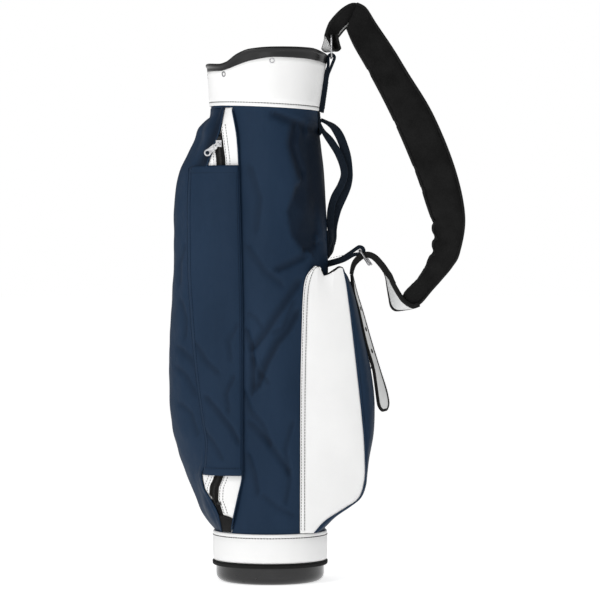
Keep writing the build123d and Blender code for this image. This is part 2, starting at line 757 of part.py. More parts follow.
def make_strap_buckle_run():
    low = half_space(SWING_TOP, SWING_LOW, SWING_LOW, 1)
    run = strap_through_buckle() & low
    slot = buckle_frame() * block(-9, 18, -2.6, 2.6, 0.8, 17)
    outer_bar = cross_bar(BUCKLE_HALF, 0, BUCKLE_WIRE + 0.5, -40, 40)
    heel_bar = cross_bar(-BUCKLE_HALF, 0, LOWER_TAB_LOOP_R + MOVE_GAP, -40, 40)
    knuckle = cross_bar(*TAIL_PIVOT, STRAP_THICK / 2, -LEAD_HALF_WIDTH, LEAD_HALF_WIDTH)
    return run + knuckle - slot - buckle_frame() * (outer_bar + heel_bar)


def make_strap_tail():
    """The strap's free end, hanging down the front of the ball pocket, its far edge turned away."""
    half = LEAD_HALF_WIDTH
    sections = []
    for z, near_x, far_x in TAIL_SECTIONS:
        corners = (near_x, -half), (near_x + TAIL_THICK, -half), (far_x + TAIL_THICK, half), (far_x, half)
        sections.append(Pos(0, 0, z) * Polygon(*corners, align=None))
    tail = loft(sections, ruled=True)
    tail -= cross_bar(*TAIL_PIVOT, STRAP_THICK / 2 + MOVE_GAP, -40, 40)
    for z, x in TAIL_HOLES:
        tail -= Pos(x, 0, z) * Rot(0, 90, 0) * Cylinder(2.5, 30)
    return tail


# ---------------------------------------------------------------- shoulder strap
def pad_outline():
    """The curved shoulder pad, face on."""
    inner = curve(
        (127, 925), (163, 853), (206, 772), (243, 685), (270, 600), (272, 565), (256, 520), (232, 480),
    )
    outer = curve(
        (252, 456), (292, 500), (318, 550), (327, 610), (310, 690), (273, 790), (217, 893), (160, 963),
    )
    return side_face(inner, path((232, 480), (252, 456)), outer, path((160, 963), (127, 925)))


PAD_Y = (-9.0, 2.0)  # the fleece faces -Y, with its cover behind it
COVER_Y = (2.0 + GAP, 5.0)


def make_strap_pad():
    return across(pad_outline(), *PAD_Y)


def make_strap_cover():
    return across(pad_outline(), *COVER_Y)


def clear_of_pad(shape):
    return shape - across(pad_outline(), PAD_Y[0] - GAP, COVER_Y[1] + GAP)


def make_upper_lead():
    """The narrow end between the pad and the ring, folded over at the top."""
    outer = curve((94, 905), (97, 935), (112, 954), (135, 967), (159.9, 962.8))
    inner = curve((126.9, 924.8), (118, 917), (110, 900))
    face = side_face(outer, path((159.9, 962.8), (126.9, 924.8)), inner, path((110, 900), (94, 905)))
    lead = across(face, -12, 8)
    return clear_of_pad(lead & half_space(SWING_TOP, SWING_LOW, SWING_TOP, 1))


def make_lower_lead():
    """The narrow end between the pad and the buckle, on edge."""
    points = (207.5, 497), (214, 486), (222, 475), (232, 466)
    lead = ribbon(points, STRAP_THICK, -LEAD_HALF_WIDTH, LEAD_HALF_WIDTH)
    up = half_space(SWING_TOP, SWING_LOW, (SWING_LOW[0], SWING_LOW[1] - MOVE_GAP), -1)
    return clear_of_pad(lead & up)


def make_strap_end_loop():
    """The strap's end, folded through the ring and sewn back to itself."""
    x = RING_X
    outer = FilletPolyline(
        at(x - 11.5, 915), at(x - 11.5, 886), at(x + 11.5, 886), at(x + 11.5, 915), radius=9.5
    )
    inner = FilletPolyline(
        at(x + 6.2, 915), at(x + 6.2, 891.5), at(x - 6.2, 891.5), at(x - 6.2, 915), radius=5.0
    )
    ends = Line(outer @ 1, inner @ 0), Line(inner @ 1, outer @ 0)
    face = Face(Wire([*outer.edges(), ends[0], *inner.edges(), ends[1]]))
    return across(face, -17, 17)


# ---------------------------------------------------------------- everything
def main():
    os.makedirs(OUT, exist_ok=True)
    holes = rivet_holes(3.0)
    rim, cuff = make_top_rim(), make_top_cuff()
    for hole in holes:
        rim -= hole
        cuff -= hole
    write("base_cup", make_base_cup())
    write("base_trim", make_base_trim())
    write("base_cuff", make_base_cuff())
    write("body_tube", tube_outer - tube_inner)
    write("stay_rods", make_stay_rods())
    write("stay_sleeves", make_stay_sleeves())
    write("top_rim", rim)
    write("top_cuff", cuff)
    write("cuff_rivets", make_cuff_rivets())
    write("divider_bar", make_divider_bar())
    write("divider_sleeve", make_divider_sleeve())
    write("ring_tab", make_ring_tab())
    write("strap_ring", make_strap_ring())
    write("ball_pocket_side_near", make_ball_side(-1))
    write("ball_pocket_side_far", make_ball_side(1))
    write("ball_pocket_front", make_ball_front())
    write("ball_zip_tape", make_ball_zip_tape())
    write("ball_zip_coil", make_ball_zip_coil())
    write("ball_zip_stops", make_ball_zip_stops())
    write("ball_zip_slider", make_ball_slider())
    write("ball_zip_puller", make_ball_puller())
    write("apparel_pocket_vinyl", make_apparel_vinyl())
    write("apparel_pocket_panel", make_apparel_panel())
    write("apparel_zip_tape", make_apparel_zip_tape())
    write("apparel_zip_coil", make_apparel_zip_coil())
    write("apparel_zip_stops", make_apparel_zip_stops())
    write("apparel_zip_slider", make_apparel_slider())
    write("apparel_zip_puller", make_apparel_puller())
    write("umbrella_sleeve", make_umbrella_sleeve())
    write("zip_end_tab", make_zip_end_tab())
    write("handle_anchors", make_handle_anchors())
    write("handle_loop_near", make_handle_loop(handle_near()))
    write("handle_loop_far", make_handle_loop(handle_far()))
    write("lower_tab", make_lower_tab())
    write("buckle_frame", make_buckle_frame())
    write("buckle_prong", make_buckle_prong())
    write("strap_buckle_run", make_strap_buckle_run())
    write("strap_tail", make_strap_tail())
    write("strap_pad", make_strap_pad())
    write("strap_cover", make_strap_cover())
    write("strap_upper_lead", make_upper_lead())
    write("strap_lower_lead", make_lower_lead())
    write("strap_end_loop", make_strap_end_loop())


main()
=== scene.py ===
"""A single-strap golf carry bag: fabric, vinyl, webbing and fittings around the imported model."""

from bisect import bisect_right
from functools import lru_cache
from math import atan2, cos, hypot, pi, radians, sin, sqrt

import bmesh
import bpy
import numpy as np
from mathutils import Matrix, Vector, noise


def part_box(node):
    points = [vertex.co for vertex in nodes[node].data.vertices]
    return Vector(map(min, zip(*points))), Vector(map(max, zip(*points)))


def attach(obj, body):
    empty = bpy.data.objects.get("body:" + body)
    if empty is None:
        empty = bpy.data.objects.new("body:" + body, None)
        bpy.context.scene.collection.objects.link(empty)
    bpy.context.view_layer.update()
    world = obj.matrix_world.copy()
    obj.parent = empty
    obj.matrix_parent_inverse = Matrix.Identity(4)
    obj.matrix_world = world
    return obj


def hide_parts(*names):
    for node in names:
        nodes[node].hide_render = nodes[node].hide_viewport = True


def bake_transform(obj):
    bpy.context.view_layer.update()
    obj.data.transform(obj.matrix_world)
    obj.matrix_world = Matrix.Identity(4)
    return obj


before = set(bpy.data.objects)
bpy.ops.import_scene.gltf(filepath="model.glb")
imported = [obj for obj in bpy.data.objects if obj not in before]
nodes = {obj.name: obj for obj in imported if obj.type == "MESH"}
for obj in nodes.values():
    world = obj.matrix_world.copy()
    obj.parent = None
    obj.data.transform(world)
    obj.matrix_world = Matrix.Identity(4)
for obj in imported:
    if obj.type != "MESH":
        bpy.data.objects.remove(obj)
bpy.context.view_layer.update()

MM = 0.001


# ---------------------------------------------------------------- camera, light, floor
CAMERA_PLACE, CAMERA_DIP, CAMERA_LENS, SENSOR = (0.0501, -5.028, 0.554), 0.955, 180, 36
ROOM_LIGHT, ROOM_SEEN = 0.30, 1.0
FLOOR_RADIUS, FLOOR_Z, FLOOR_SIDES, FLOOR_GLOW = 30, -0.0003, 64, 0.72


def make_stage():
    scene = bpy.context.scene
    camera = bpy.data.objects.new("camera", bpy.data.cameras.new("camera"))
    camera.data.lens, camera.data.sensor_width = CAMERA_LENS, SENSOR
    camera.location = CAMERA_PLACE
    camera.rotation_euler = (radians(90 - CAMERA_DIP), 0, 0)
    scene.collection.objects.link(camera)
    scene.camera = camera

    scene.view_settings.view_transform = "Standard"
    # a white backdrop that lights the bag more gently than it looks
    scene.world = bpy.data.worlds.new("studio")
    scene.world.use_nodes = True
    tree = scene.world.node_tree
    sky = tree.nodes["Background"]
    sky.inputs["Color"].default_value = (1, 1, 1, 1)
    seen = tree.nodes.new("ShaderNodeLightPath")
    level = tree.nodes.new("ShaderNodeMapRange")
    level.inputs["To Min"].default_value, level.inputs["To Max"].default_value = ROOM_LIGHT, ROOM_SEEN
    tree.links.new(seen.outputs["Is Camera Ray"], level.inputs["Value"])
    tree.links.new(level.outputs["Result"], sky.inputs["Strength"])

    def softbox(name, place, aim, size, power):
        light = bpy.data.objects.new(name, bpy.data.lights.new(name, "AREA"))
        light.data.shape = "RECTANGLE"
        light.data.size, light.data.size_y = size
        light.data.energy = power
        light.location = place
        light.rotation_euler = (Vector(aim) - Vector(place)).to_track_quat("-Z", "Y").to_euler()
        scene.collection.objects.link(light)

    middle = (0.05, 0, 0.5)
    softbox("key_left", (-1.9, -2.5, 1.7), middle, (1.3, 1.7), 36)
    softbox("front_fill", (-0.2, -3.4, 1.0), middle, (1.3, 1.8), 9)
    softbox("rim_right", (2.2, 0.9, 1.5), middle, (0.8, 1.8), 2)

    # one wide sheet of pale paper
    around = np.linspace(0, 2 * pi, FLOOR_SIDES, endpoint=False)
    verts = [(0, 0, FLOOR_Z)] + [(FLOOR_RADIUS * cos(a), FLOOR_RADIUS * sin(a), FLOOR_Z) for a in around]
    faces = [(0, i + 1, (i + 1) % FLOOR_SIDES + 1) for i in range(FLOOR_SIDES)]
    mesh = bpy.data.meshes.new("floor")
    mesh.from_pydata(verts, [], faces)
    mesh.shade_smooth()
    floor = bpy.data.objects.new("floor", mesh)
    scene.collection.objects.link(floor)
    paper = bpy.data.materials.new("paper")
    paper.use_nodes = True
    shader = paper.node_tree.nodes["Principled BSDF"]
    shader.inputs["Base Color"].default_value = (0.96, 0.96, 0.96, 1)
    shader.inputs["Roughness"].default_value = 0.9
    shader.inputs["Emission Color"].default_value = (1, 1, 1, 1)
    shader.inputs["Emission Strength"].default_value = FLOOR_GLOW
    floor.data.materials.append(paper)


# ---------------------------------------------------------------- materials
BUMP_UNIT = 0.001
# the dark navy of the shade painted into the cloth's creases and hollows
CREASE_SHADE_COLOR = (0.0015, 0.0030, 0.0065, 1)
THREAD_GAP, RIB_SCALE = 0.0009, 0.314159


class Mix:
    """Builds one procedural material around a Principled shader."""

    def __init__(self, name, color, roughness, **sockets):
        self.material = bpy.data.materials.new(name)
        self.material.use_nodes = True
        self.tree = self.material.node_tree
        self.shader = self.tree.nodes["Principled BSDF"]
        self.shader.inputs["Base Color"].default_value = (*color, 1)
        self.shader.inputs["Roughness"].default_value = roughness
        for socket, value in sockets.items():
            self.shader.inputs[socket.replace("_", " ")].default_value = value
        self.height = None
        self.place = self.node("ShaderNodeTexCoord").outputs["Object"]
        self.uv = self.tree.nodes[-1].outputs["UV"]

    def node(self, kind, **values):
        made = self.tree.nodes.new(kind)
        for key, value in values.items():
            setattr(made, key, value)
        return made

    def link(self, a, b):
        self.tree.links.new(a, b)

    def noise(self, scale, detail=3.0, stretch=None):
        source = self.place
        if stretch:
            mapping = self.node("ShaderNodeMapping")
            mapping.inputs["Scale"].default_value = stretch
            self.link(source, mapping.inputs["Vector"])
            source = mapping.outputs["Vector"]
        made = self.node("ShaderNodeTexNoise")
        made.inputs["Scale"].default_value = scale
        made.inputs["Detail"].default_value = detail
        self.link(source, made.inputs["Vector"])
        return made.outputs["Fac"]

    def cells(self, scale):
        made = self.node("ShaderNodeTexVoronoi", feature="SMOOTH_F1")
        made.inputs["Scale"].default_value = scale
        self.link(self.place, made.inputs["Vector"])
        return made.outputs["Distance"]

    def ribs(self, axis, period, source=None):
        """Ribs that repeat every period metres along an axis of the texture space."""
        made = self.node("ShaderNodeTexWave", wave_type="BANDS", bands_direction=axis, wave_profile="SIN")
        made.inputs["Scale"].default_value = RIB_SCALE / period
        made.inputs["Distortion"].default_value = 0.0
        self.link(source or self.place, made.inputs["Vector"])
        return made.outputs["Fac"]

    def times(self, a, b):
        made = self.node("ShaderNodeMath", operation="MULTIPLY")
        for socket, value in zip(made.inputs, (a, b)):
            if isinstance(value, (int, float)):
                socket.default_value = value
            else:
                self.link(value, socket)
        return made.outputs[0]

    def plus(self, a, b):
        made = self.node("ShaderNodeMath", operation="ADD")
        self.link(a, made.inputs[0])
        self.link(b, made.inputs[1])
        return made.outputs[0]

    def paint_crease_shade(self, share):
        """Paints shade into the colour where the mesh's crease value is high, mixing towards a dark navy; cloth without
        one is left as it is.
        """
        crease = self.node("ShaderNodeAttribute", attribute_name="crease").outputs["Fac"]
        socket = self.shader.inputs["Base Color"]
        mixed = self.node("ShaderNodeMixRGB", blend_type="MIX")
        self.link(self.times(crease, share), mixed.inputs["Fac"])
        self.link(socket.links[0].from_socket, mixed.inputs["Color1"])
        mixed.inputs["Color2"].default_value = CREASE_SHADE_COLOR
        self.link(mixed.outputs["Color"], socket)
        return self

    def raise_by(self, source, depth):
        """Adds a texture to the bump height, depth metres from low to high."""
        scaled = self.times(source, depth / BUMP_UNIT)
        self.height = scaled if self.height is None else self.plus(self.height, scaled)
        return self

    def tint(self, source, low, high, start=0.3, stop=0.7):
        """Colours the surface from low to high as the texture rises."""
        ramp = self.node("ShaderNodeValToRGB")
        ramp.color_ramp.elements[0].position, ramp.color_ramp.elements[1].position = start, stop
        ramp.color_ramp.elements[0].color, ramp.color_ramp.elements[1].color = (*low, 1), (*high, 1)
        self.link(source, ramp.inputs["Fac"])
        self.link(ramp.outputs["Color"], self.shader.inputs["Base Color"])
        return self

    def gloss(self, source, low, high):
        """Varies roughness from low to high as the texture rises."""
        made = self.node("ShaderNodeMapRange")
        made.inputs["To Min"].default_value, made.inputs["To Max"].default_value = low, high
        self.link(source, made.inputs["Value"])
        self.link(made.outputs["Result"], self.shader.inputs["Roughness"])
        return self

    def done(self, strength=1.0):
        if self.height is not None:
            bump = self.node("ShaderNodeBump")
            bump.inputs["Distance"].default_value = BUMP_UNIT
            bump.inputs["Strength"].default_value = strength
            self.link(self.height, bump.inputs["Height"])
            self.link(bump.outputs["Normal"], self.shader.inputs["Normal"])
        return self.material


def make_nylon():
    m = Mix("nylon_navy", (0.011, 0.026, 0.055), 0.60, Specular_IOR_Level=0.09)
    weave = m.times(m.ribs("X", THREAD_GAP), m.ribs("Z", THREAD_GAP))
    m.raise_by(weave, 0.00012).raise_by(m.noise(22, 4, stretch=(1, 1, 0.45)), 0.0016)
    m.raise_by(m.noise(90, 3), 0.0002).raise_by(m.noise(30, 5, stretch=(1, 1, 0.6)), 0.0022)
    m.tint(m.noise(14, 5, stretch=(1, 1, 0.35)), (0.0100, 0.0245, 0.0510), (0.0150, 0.0330, 0.0660))
    # painted shade: creases and hollows darkened up to 80 per cent of the way to the dark navy
    return m.paint_crease_shade(0.80).gloss(m.noise(60, 3), 0.46, 0.62).done(0.9)


def make_vinyl(name, low, high, grain):
    m = Mix(name, high, 0.45, Specular_IOR_Level=0.4, Sheen_Weight=0.0)
    m.raise_by(m.cells(850), grain).raise_by(m.noise(18, 4), 0.0012).raise_by(m.noise(400, 2), grain * 0.5)
    m.tint(m.noise(9, 5), low, high)
    return m.gloss(m.noise(200, 3), 0.40, 0.58).done(0.8)


def make_webbing(name, low, high):
    m = Mix(name, high, 0.72, Sheen_Weight=0.02, Sheen_Roughness=0.45, Specular_IOR_Level=0.12)
    across, along = m.ribs("X", 0.0016, m.uv), m.ribs("Y", 0.0011, m.uv)
    m.raise_by(m.times(across, along), 0.0004).raise_by(across, 0.00025)
    m.tint(m.plus(m.times(across, 0.5), m.times(m.noise(300, 2), 0.5)), low, high)
    return m.done(1.0)


def make_fleece(name, low, high):
    m = Mix(name, high, 0.95, Sheen_Weight=0.02, Sheen_Roughness=0.6, Specular_IOR_Level=0.05)
    pile = m.noise(1400, 4)
    m.raise_by(pile, 0.0007).raise_by(m.noise(320, 3), 0.0006).raise_by(m.noise(45, 3), 0.0012)
    m.tint(m.plus(m.times(pile, 0.6), m.times(m.noise(30, 4), 0.4)), low, high, 0.35, 0.65)
    return m.done(1.0)


def make_plastic(name, color, roughness, coat):
    m = Mix(name, color, roughness, Coat_Weight=coat, Coat_Roughness=0.12, Specular_IOR_Level=0.3)
    m.raise_by(m.noise(900, 2), 0.00005).raise_by(m.noise(60, 2), 0.0001)
    lighter = tuple(c * 1.6 for c in color)
    m.tint(m.noise(35, 6), color, lighter, 0.45, 0.8)
    return m.gloss(m.noise(120, 4), roughness * 0.8, roughness * 1.3).done(0.6)


def make_metal(name):
    m = Mix(name, (0.42, 0.42, 0.43), 0.20, Metallic=1.0)
    m.raise_by(m.noise(1200, 3, stretch=(1, 1, 0.1)), 0.00003)
    m.tint(m.noise(220, 5), (0.30, 0.30, 0.31), (0.50, 0.50, 0.51), 0.35, 0.6)
    return m.gloss(m.noise(500, 5), 0.14, 0.32).done(0.5)


def make_thread(name, color):
    m = Mix(name, color, 0.8, Specular_IOR_Level=0.1)
    m.raise_by(m.noise(3000, 2), 0.0001)
    m.tint(m.noise(900, 2), tuple(c * 0.7 for c in color), color)
    return m.done(0.8)


DEEP_BLACK = (0.008, 0.008, 0.008)
paints = {
    "nylon_navy": make_nylon(),
    "vinyl_white": make_vinyl("vinyl_white", (0.90, 0.90, 0.895), (0.96, 0.96, 0.955), 0.00010),
    "strap_vinyl": make_vinyl("strap_vinyl", (0.72, 0.725, 0.72), (0.82, 0.825, 0.82), 0.00035),
    "webbing_navy": make_webbing("webbing_navy", (0.0035, 0.0070, 0.0125), (0.0125, 0.0200, 0.0320)),
    "binding_black": make_webbing("binding_black", DEEP_BLACK, (0.022, 0.022, 0.022)),
    "zip_tape_black": make_webbing("zip_tape_black", (0.006, 0.006, 0.006), (0.018, 0.018, 0.018)),
    "fleece_black": make_fleece("fleece_black", (0.0050, 0.0050, 0.0050), (0.0165, 0.0165, 0.0165)),
    "lining_black": make_webbing("lining_black", DEEP_BLACK, (0.016, 0.016, 0.016)),
    "zip_coil_black": make_plastic("zip_coil_black", (0.012, 0.012, 0.012), 0.4, 0.0),
    "base_plastic": make_plastic("base_plastic", (0.0045, 0.0045, 0.005), 0.24, 0.45),
    "rim_plastic": make_plastic("rim_plastic", (0.0050, 0.0050, 0.0055), 0.30, 0.15),
    "hardware_chrome": make_metal("hardware_chrome"),
    "stay_alloy": make_metal("stay_alloy"),
    "thread_black": make_thread("thread_black", (0.010, 0.010, 0.010)),
    "thread_navy": make_thread("thread_navy", (0.008, 0.018, 0.036)),
}


# ---------------------------------------------------------------- mesh helpers
def track(*knots):
    """A smooth value through (position, value) knots, with no overshoot between them."""
    xs, ys = np.array([k[0] for k in knots], float), np.array([k[1] for k in knots], float)
    step = np.diff(ys) / np.diff(xs)
    slope = np.zeros(len(xs))
    for i in range(1, len(xs) - 1):
        if step[i - 1] * step[i] > 0:
            slope[i] = 2 * step[i - 1] * step[i] / (step[i - 1] + step[i])
    slope[0], slope[-1] = step[0], step[-1]
    xs, ys, slope = xs.tolist(), ys.tolist(), slope.tolist()

    def value(x):
        x = min(max(x, xs[0]), xs[-1])
        i = min(bisect_right(xs, x) - 1, len(xs) - 2)
        h = xs[i + 1] - xs[i]
        t = (x - xs[i]) / h
        return (
            ys[i] * (1 + 2 * t) * (1 - t) ** 2 + slope[i] * h * t * (1 - t) ** 2
            + ys[i + 1] * t * t * (3 - 2 * t) + slope[i + 1] * h * t * t * (t - 1)
        )
    return value


def line_through(*points, count=60):
    """Evenly spaced points on a smooth curve through these points (Catmull-Rom by arc length)."""
    pts = [np.array(p, float) for p in points]
    pts = [2 * pts[0] - pts[1], *pts, 2 * pts[-1] - pts[-2]]
    fine = []
    for a, b, c, d in zip(pts, pts[1:], pts[2:], pts[3:]):
        for t in np.linspace(0, 1, 24, endpoint=False):
            fine.append(0.5 * (2 * b + (c - a) * t + (2 * a - 5 * b + 4 * c - d) * t * t
                               + (3 * b - a - 3 * c + d) * t ** 3))
    fine.append(pts[-2])
    return resample(fine, count)


def resample(points, count):
    """The same line with count evenly spaced points."""
    points = np.array(points, float)
    run = np.concatenate([[0], np.cumsum(np.linalg.norm(np.diff(points, axis=0), axis=1))])
    at = np.linspace(0, run[-1], count)
    return np.stack([np.interp(at, run, points[:, k]) for k in range(points.shape[1])], axis=1)


def smoothstep(low, high, x):
    t = min(max((x - low) / (high - low), 0.0), 1.0)
    return t * t * (3 - 2 * t)


def ripple(x, y, z, size, seed=0.0):
    """Smooth noise from -1 to 1 that varies over about size millimetres."""
    return noise.noise(Vector((x / size + seed, y / size - seed, z / size + 2 * seed)))


def add_piece(name, verts, faces, paint, uvs=None, smooth=True, face_paints=None):
    """Adds a mesh in millimetres as a piece with its paint. uvs are per face corner, in metres."""
    mesh = bpy.data.meshes.new(name)
    mesh.from_pydata([tuple(float(c) * MM for c in v) for v in verts], [], faces)
    if uvs is not None:
        layer = mesh.uv_layers.new(name="uv")
        layer.data.foreach_set("uv", [c for uv in uvs for c in uv])
    if smooth:
        mesh.shade_smooth()
    obj = bpy.data.objects.new(name, mesh)
    bpy.context.scene.collection.objects.link(obj)
    for one in ([paint] if isinstance(paint, str) else paint):
        mesh.materials.append(paints[one])
    if face_paints is not None:
        mesh.polygons.foreach_set("material_index", face_paints)
    if not isinstance(paint, str):
        paint = paint[0]
    mesh.validate()
    return obj


def weave_sheet(name, rows, paint, close=False, close_rows=False, row_paints=None, paints_used=None):
    """A mesh over rows of points. close joins each row's end to its start; row_paints is a paint index per column."""
    count, width = len(rows), len(rows[0])
    pts = np.array([[tuple(p) for p in row] for row in rows], float)
    across = np.concatenate([[0], np.cumsum(np.linalg.norm(np.diff(pts[count // 2], axis=0), axis=1))])
    down = np.concatenate([[0], np.cumsum(np.linalg.norm(np.diff(pts[:, width // 2], axis=0), axis=1))])
    wrap = across[-1] + np.linalg.norm(pts[count // 2][0] - pts[count // 2][-1])
    end = down[-1] + np.linalg.norm(pts[0][width // 2] - pts[-1][width // 2])
    faces, uvs, kinds = [], [], []
    for j in range(count if close_rows else count - 1):
        for i in range(width if close else width - 1):
            i2, j2 = (i + 1) % width, (j + 1) % count
            faces.append((j * width + i, j * width + i2, j2 * width + i2, j2 * width + i))
            u0, u1 = across[i], (wrap if i2 == 0 else across[i2])
            v0, v1 = down[j], (end if j2 == 0 else down[j2])
            uvs += [(u0 * MM, v0 * MM), (u1 * MM, v0 * MM), (u1 * MM, v1 * MM), (u0 * MM, v1 * MM)]
            kinds.append(row_paints[i] if row_paints else 0)
    return add_piece(name, pts.reshape(-1, 3), faces, paints_used or paint, uvs, face_paints=kinds
                     if row_paints else None)


def set_crease_shade(obj, values):
    """Stores each vertex's painted shade, 0 to 1: how deep in a crease or hollow it lies."""
    layer = obj.data.attributes.new("crease", "FLOAT", "POINT")
    layer.data.foreach_set("value", [min(max(float(v), 0.0), 1.0) for v in values])


def thicken(obj, thickness, offset=-1.0):
    mod = obj.modifiers.new("thickness", "SOLIDIFY")
    mod.thickness, mod.offset = thickness * MM, offset
    mod.use_even_offset = False
    return obj


def round_edges(obj, width, segments=2, angle=40):
    mod = obj.modifiers.new("edges", "BEVEL")
    mod.width, mod.segments = width * MM, segments
    mod.limit_method, mod.angle_limit = "ANGLE", radians(angle)
    return obj


def subdivide(obj, levels=1):
    mod = obj.modifiers.new("smooth", "SUBSURF")
    mod.levels = mod.render_levels = levels
    return obj


def tube_along(name, points, radius, paint, sides=8, closed=False, taper=True):
    """A round cord of millimetre radius through points."""
    pts = [Vector(p) for p in points]
    rows, normal = [], None
    for i, p in enumerate(pts):
        before = pts[i - 1] if (i or closed) else p
        after = pts[(i + 1) % len(pts)] if (i < len(pts) - 1 or closed) else p
        direction = (after - before).normalized()
        if normal is None:
            normal = direction.orthogonal().normalized()
        normal = (normal - direction * normal.dot(direction)).normalized()
        side = direction.cross(normal)
        shrink = 0.35 if taper and not closed and i in (0, len(pts) - 1) else 1.0
        rows.append([
            p + (normal * cos(a) + side * sin(a)) * radius * shrink
            for a in np.linspace(0, 2 * pi, sides, endpoint=False)
        ])
    return weave_sheet(name, rows, paint, close=True, close_rows=closed)


STITCH_SIDES = 6
STITCH_SHAPE = ((0, 0.35), (0.14, 0.85), (0.5, 1.0), (0.86, 0.85),
                (1, 0.35))  # (share of the length, share of the radius)


def stitches(name, path, outward, paint, pitch=6.0, length=4.2, radius=0.42, lift=0.12):
    """Separate thread stitches along a path. outward(i) is the surface normal at each path point."""
    path = [Vector(p) for p in path]
    normals = [Vector(outward(i)) for i in range(len(path))]
    run = [0.0]
    for a, b in zip(path, path[1:]):
        run.append(run[-1] + (b - a).length)
    verts, faces = [], []
    count = max(1, int(run[-1] / pitch))
    arc = np.array(run)

    def at(s):
        k = min(max(int(np.searchsorted(arc, s, "right")) - 1, 0), len(path) - 2)
        t = (s - arc[k]) / max(arc[k + 1] - arc[k], 1e-9)
        return path[k].lerp(path[k + 1], t), normals[k].lerp(normals[k + 1], t).normalized()

    for c in range(count):
        start = (c + 0.5) * run[-1] / count - length / 2
        rings = []
        for t, size in STITCH_SHAPE:
            p, n = at(start + t * length)
            q, _ = at(start + t * length + 0.5)
            along = (q - p).normalized() if (q - p).length > 1e-6 else Vector((0, 0, 1))
            side = along.cross(n).normalized()
            sink = -radius * 0.9 if t in (0, 1) else lift
            base = p + n * sink
            rings.append([base + (side * cos(a) + n * sin(a)) * radius * size
                          for a in np.linspace(0, 2 * pi, STITCH_SIDES, endpoint=False)])
        first = len(verts)
        for ring in rings:
            verts += ring
        for j in range(len(rings) - 1):
            low, high = first + j * STITCH_SIDES, first + (j + 1) * STITCH_SIDES
            for i in range(STITCH_SIDES):
                following = (i + 1) % STITCH_SIDES
                faces.append((low + i, low + following, high + following, high + i))
        faces.append(tuple(first + i for i in reversed(range(STITCH_SIDES))))
        faces.append(tuple(first + (len(rings) - 1) * STITCH_SIDES + i for i in range(STITCH_SIDES)))
    return add_piece(name, verts, faces, paint)


def on_bag(*objects):
    for obj in objects:
        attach(obj, "bag")


# ---------------------------------------------------------------- the bag's tube
tube_x = track((42, 0), (180, 0), (330, 0.5), (520, 1.5), (670, -2.5), (768, -8.4), (794, -9.3), (822, -8.2))
tube_r = track((42, 92.0), (85, 92.6), (180, 94.5), (330, 95.5), (520, 96.0), (670, 94.2), (768, 90.2),
               (794, 89.4), (822, 92.0))
TUBE_LOW, TUBE_HIGH = 44.0, 818.0


def tube_point(angle, z, lift=0.0):
    """A point on the tube; the angle is measured from -X towards -Y."""
    r = tube_r(z) + lift
    return Vector((tube_x(z) - r * cos(angle), -r * sin(angle), z))


def fold_depth(x, z, folds):
    """How deep the cloth is creased here. A fold is its depth, reach and line of (x, z) points, sharp on its left."""
    total = 0.0
    for depth, reach, line in folds:
        near = 2.0 * reach
        for (x0, z0), (x1, z1) in zip(line, line[1:]):
            run = (x1 - x0, z1 - z0)
            t = ((x - x0) * run[0] + (z - z0) * run[1]) / (run[0] ** 2 + run[1] ** 2)
            t = min(max(t, 0.0), 1.0)
            away = hypot(x - x0 - run[0] * t, z - z0 - run[1] * t)
            left = run[0] * (z - z0) - run[1] * (x - x0) > 0
            near = min(near, away * (2.0 if left else 0.75))
        total += depth * smoothstep(reach, 0, near)
    return total


TUBE_FOLDS = (
    (4.0, 12, ((10, 779), (34, 770), (58, 762), (82, 752))),
    (5.0, 15, ((46, 752), (42, 728), (50, 706), (60, 684))),
    (7.0, 30, ((66, 736), (72, 690), (78, 636), (80, 586))),
    (4.5, 24, ((62, 558), (44, 580), (37, 618), (50, 655))),
    (3.4, 11, ((58, 540), (34, 528), (16, 521))),
    (2.6, 9, ((60, 557), (84, 566))),
    (3.4, 12, ((50, 497), (34, 474), (16, 450), (-4, 420), (-24, 394))),
    (3.8, 12, ((48, 447), (32, 420), (14, 400), (-4, 366), (-18, 330))),
    (3.0, 8, ((-36, 421), (-29, 398), (-26, 376), (-27, 320))),
    (2.0, 8, ((-27, 376), (-16, 352), (-2, 340))),
    (1.8, 7, ((8, 420), (22, 428), (40, 470))),
    (1.6, 6, ((-34, 452), (-22, 444), (-12, 430))),
    (1.8, 11, ((-30, 690), (-14, 640), (-20, 590))),
    (1.8, 10, ((-34, 560), (-6, 520), (20, 500))),
    (2.0, 9, ((-40, 318), (-30, 290), (-10, 268), (2, 236))),
    (2.4, 10, ((-30, 270), (0, 240), (34, 190))),
    (2.2, 8, ((-34, 216), (-24, 190), (-18, 156))),
    (1.8, 8, ((40, 268), (28, 226), (36, 178), (30, 140))),
    (1.6, 7, ((-8, 150), (14, 132), (40, 118))),
)
PANEL_FOLDS = (
    (1.8, 9, ((-150, 392), (-128, 374), (-106, 342))),
    (1.6, 8, ((-153, 360), (-138, 346), (-122, 318))),
    (1.5, 8, ((-148, 300), (-130, 284), (-118, 250))),
    (1.6, 7, ((-146, 470), (-138, 440), (-140, 410))),
    (1.4, 7, ((-140, 560), (-150, 530), (-149, 500))),
)
SLEEVE_FOLDS = (
    (1.6, 9, ((-120, 398), (-104, 372), (-86, 356))),
    (2.0, 9, ((-102, 311), (-84, 290), (-62, 262), (-50, 240))),
    (1.6, 8, ((-58, 344), (-70, 318), (-66, 290))),
    (1.4, 8, ((-108, 258), (-92, 238), (-78, 214))),
    (1.2, 8, ((-52, 430), (-66, 404), (-62, 376))),
)


# fold depths, in mm, at which the painted crease shade is full
FULL_SHADE_TUBE_FOLD, FULL_SHADE_FOLD = 6.5, 5.0
LINING_GAP = 3.0


def tube_fold(angle, z):
    """How deep the tube's cloth is creased at a point of its near side."""
    p = tube_point(angle, z)
    if p.y >= 0:
        return 0.0
    return fold_depth(p.x, z, TUBE_FOLDS) * (1 - smoothstep(782, 792, z)) * (1 - smoothstep(80, 93, p.x))


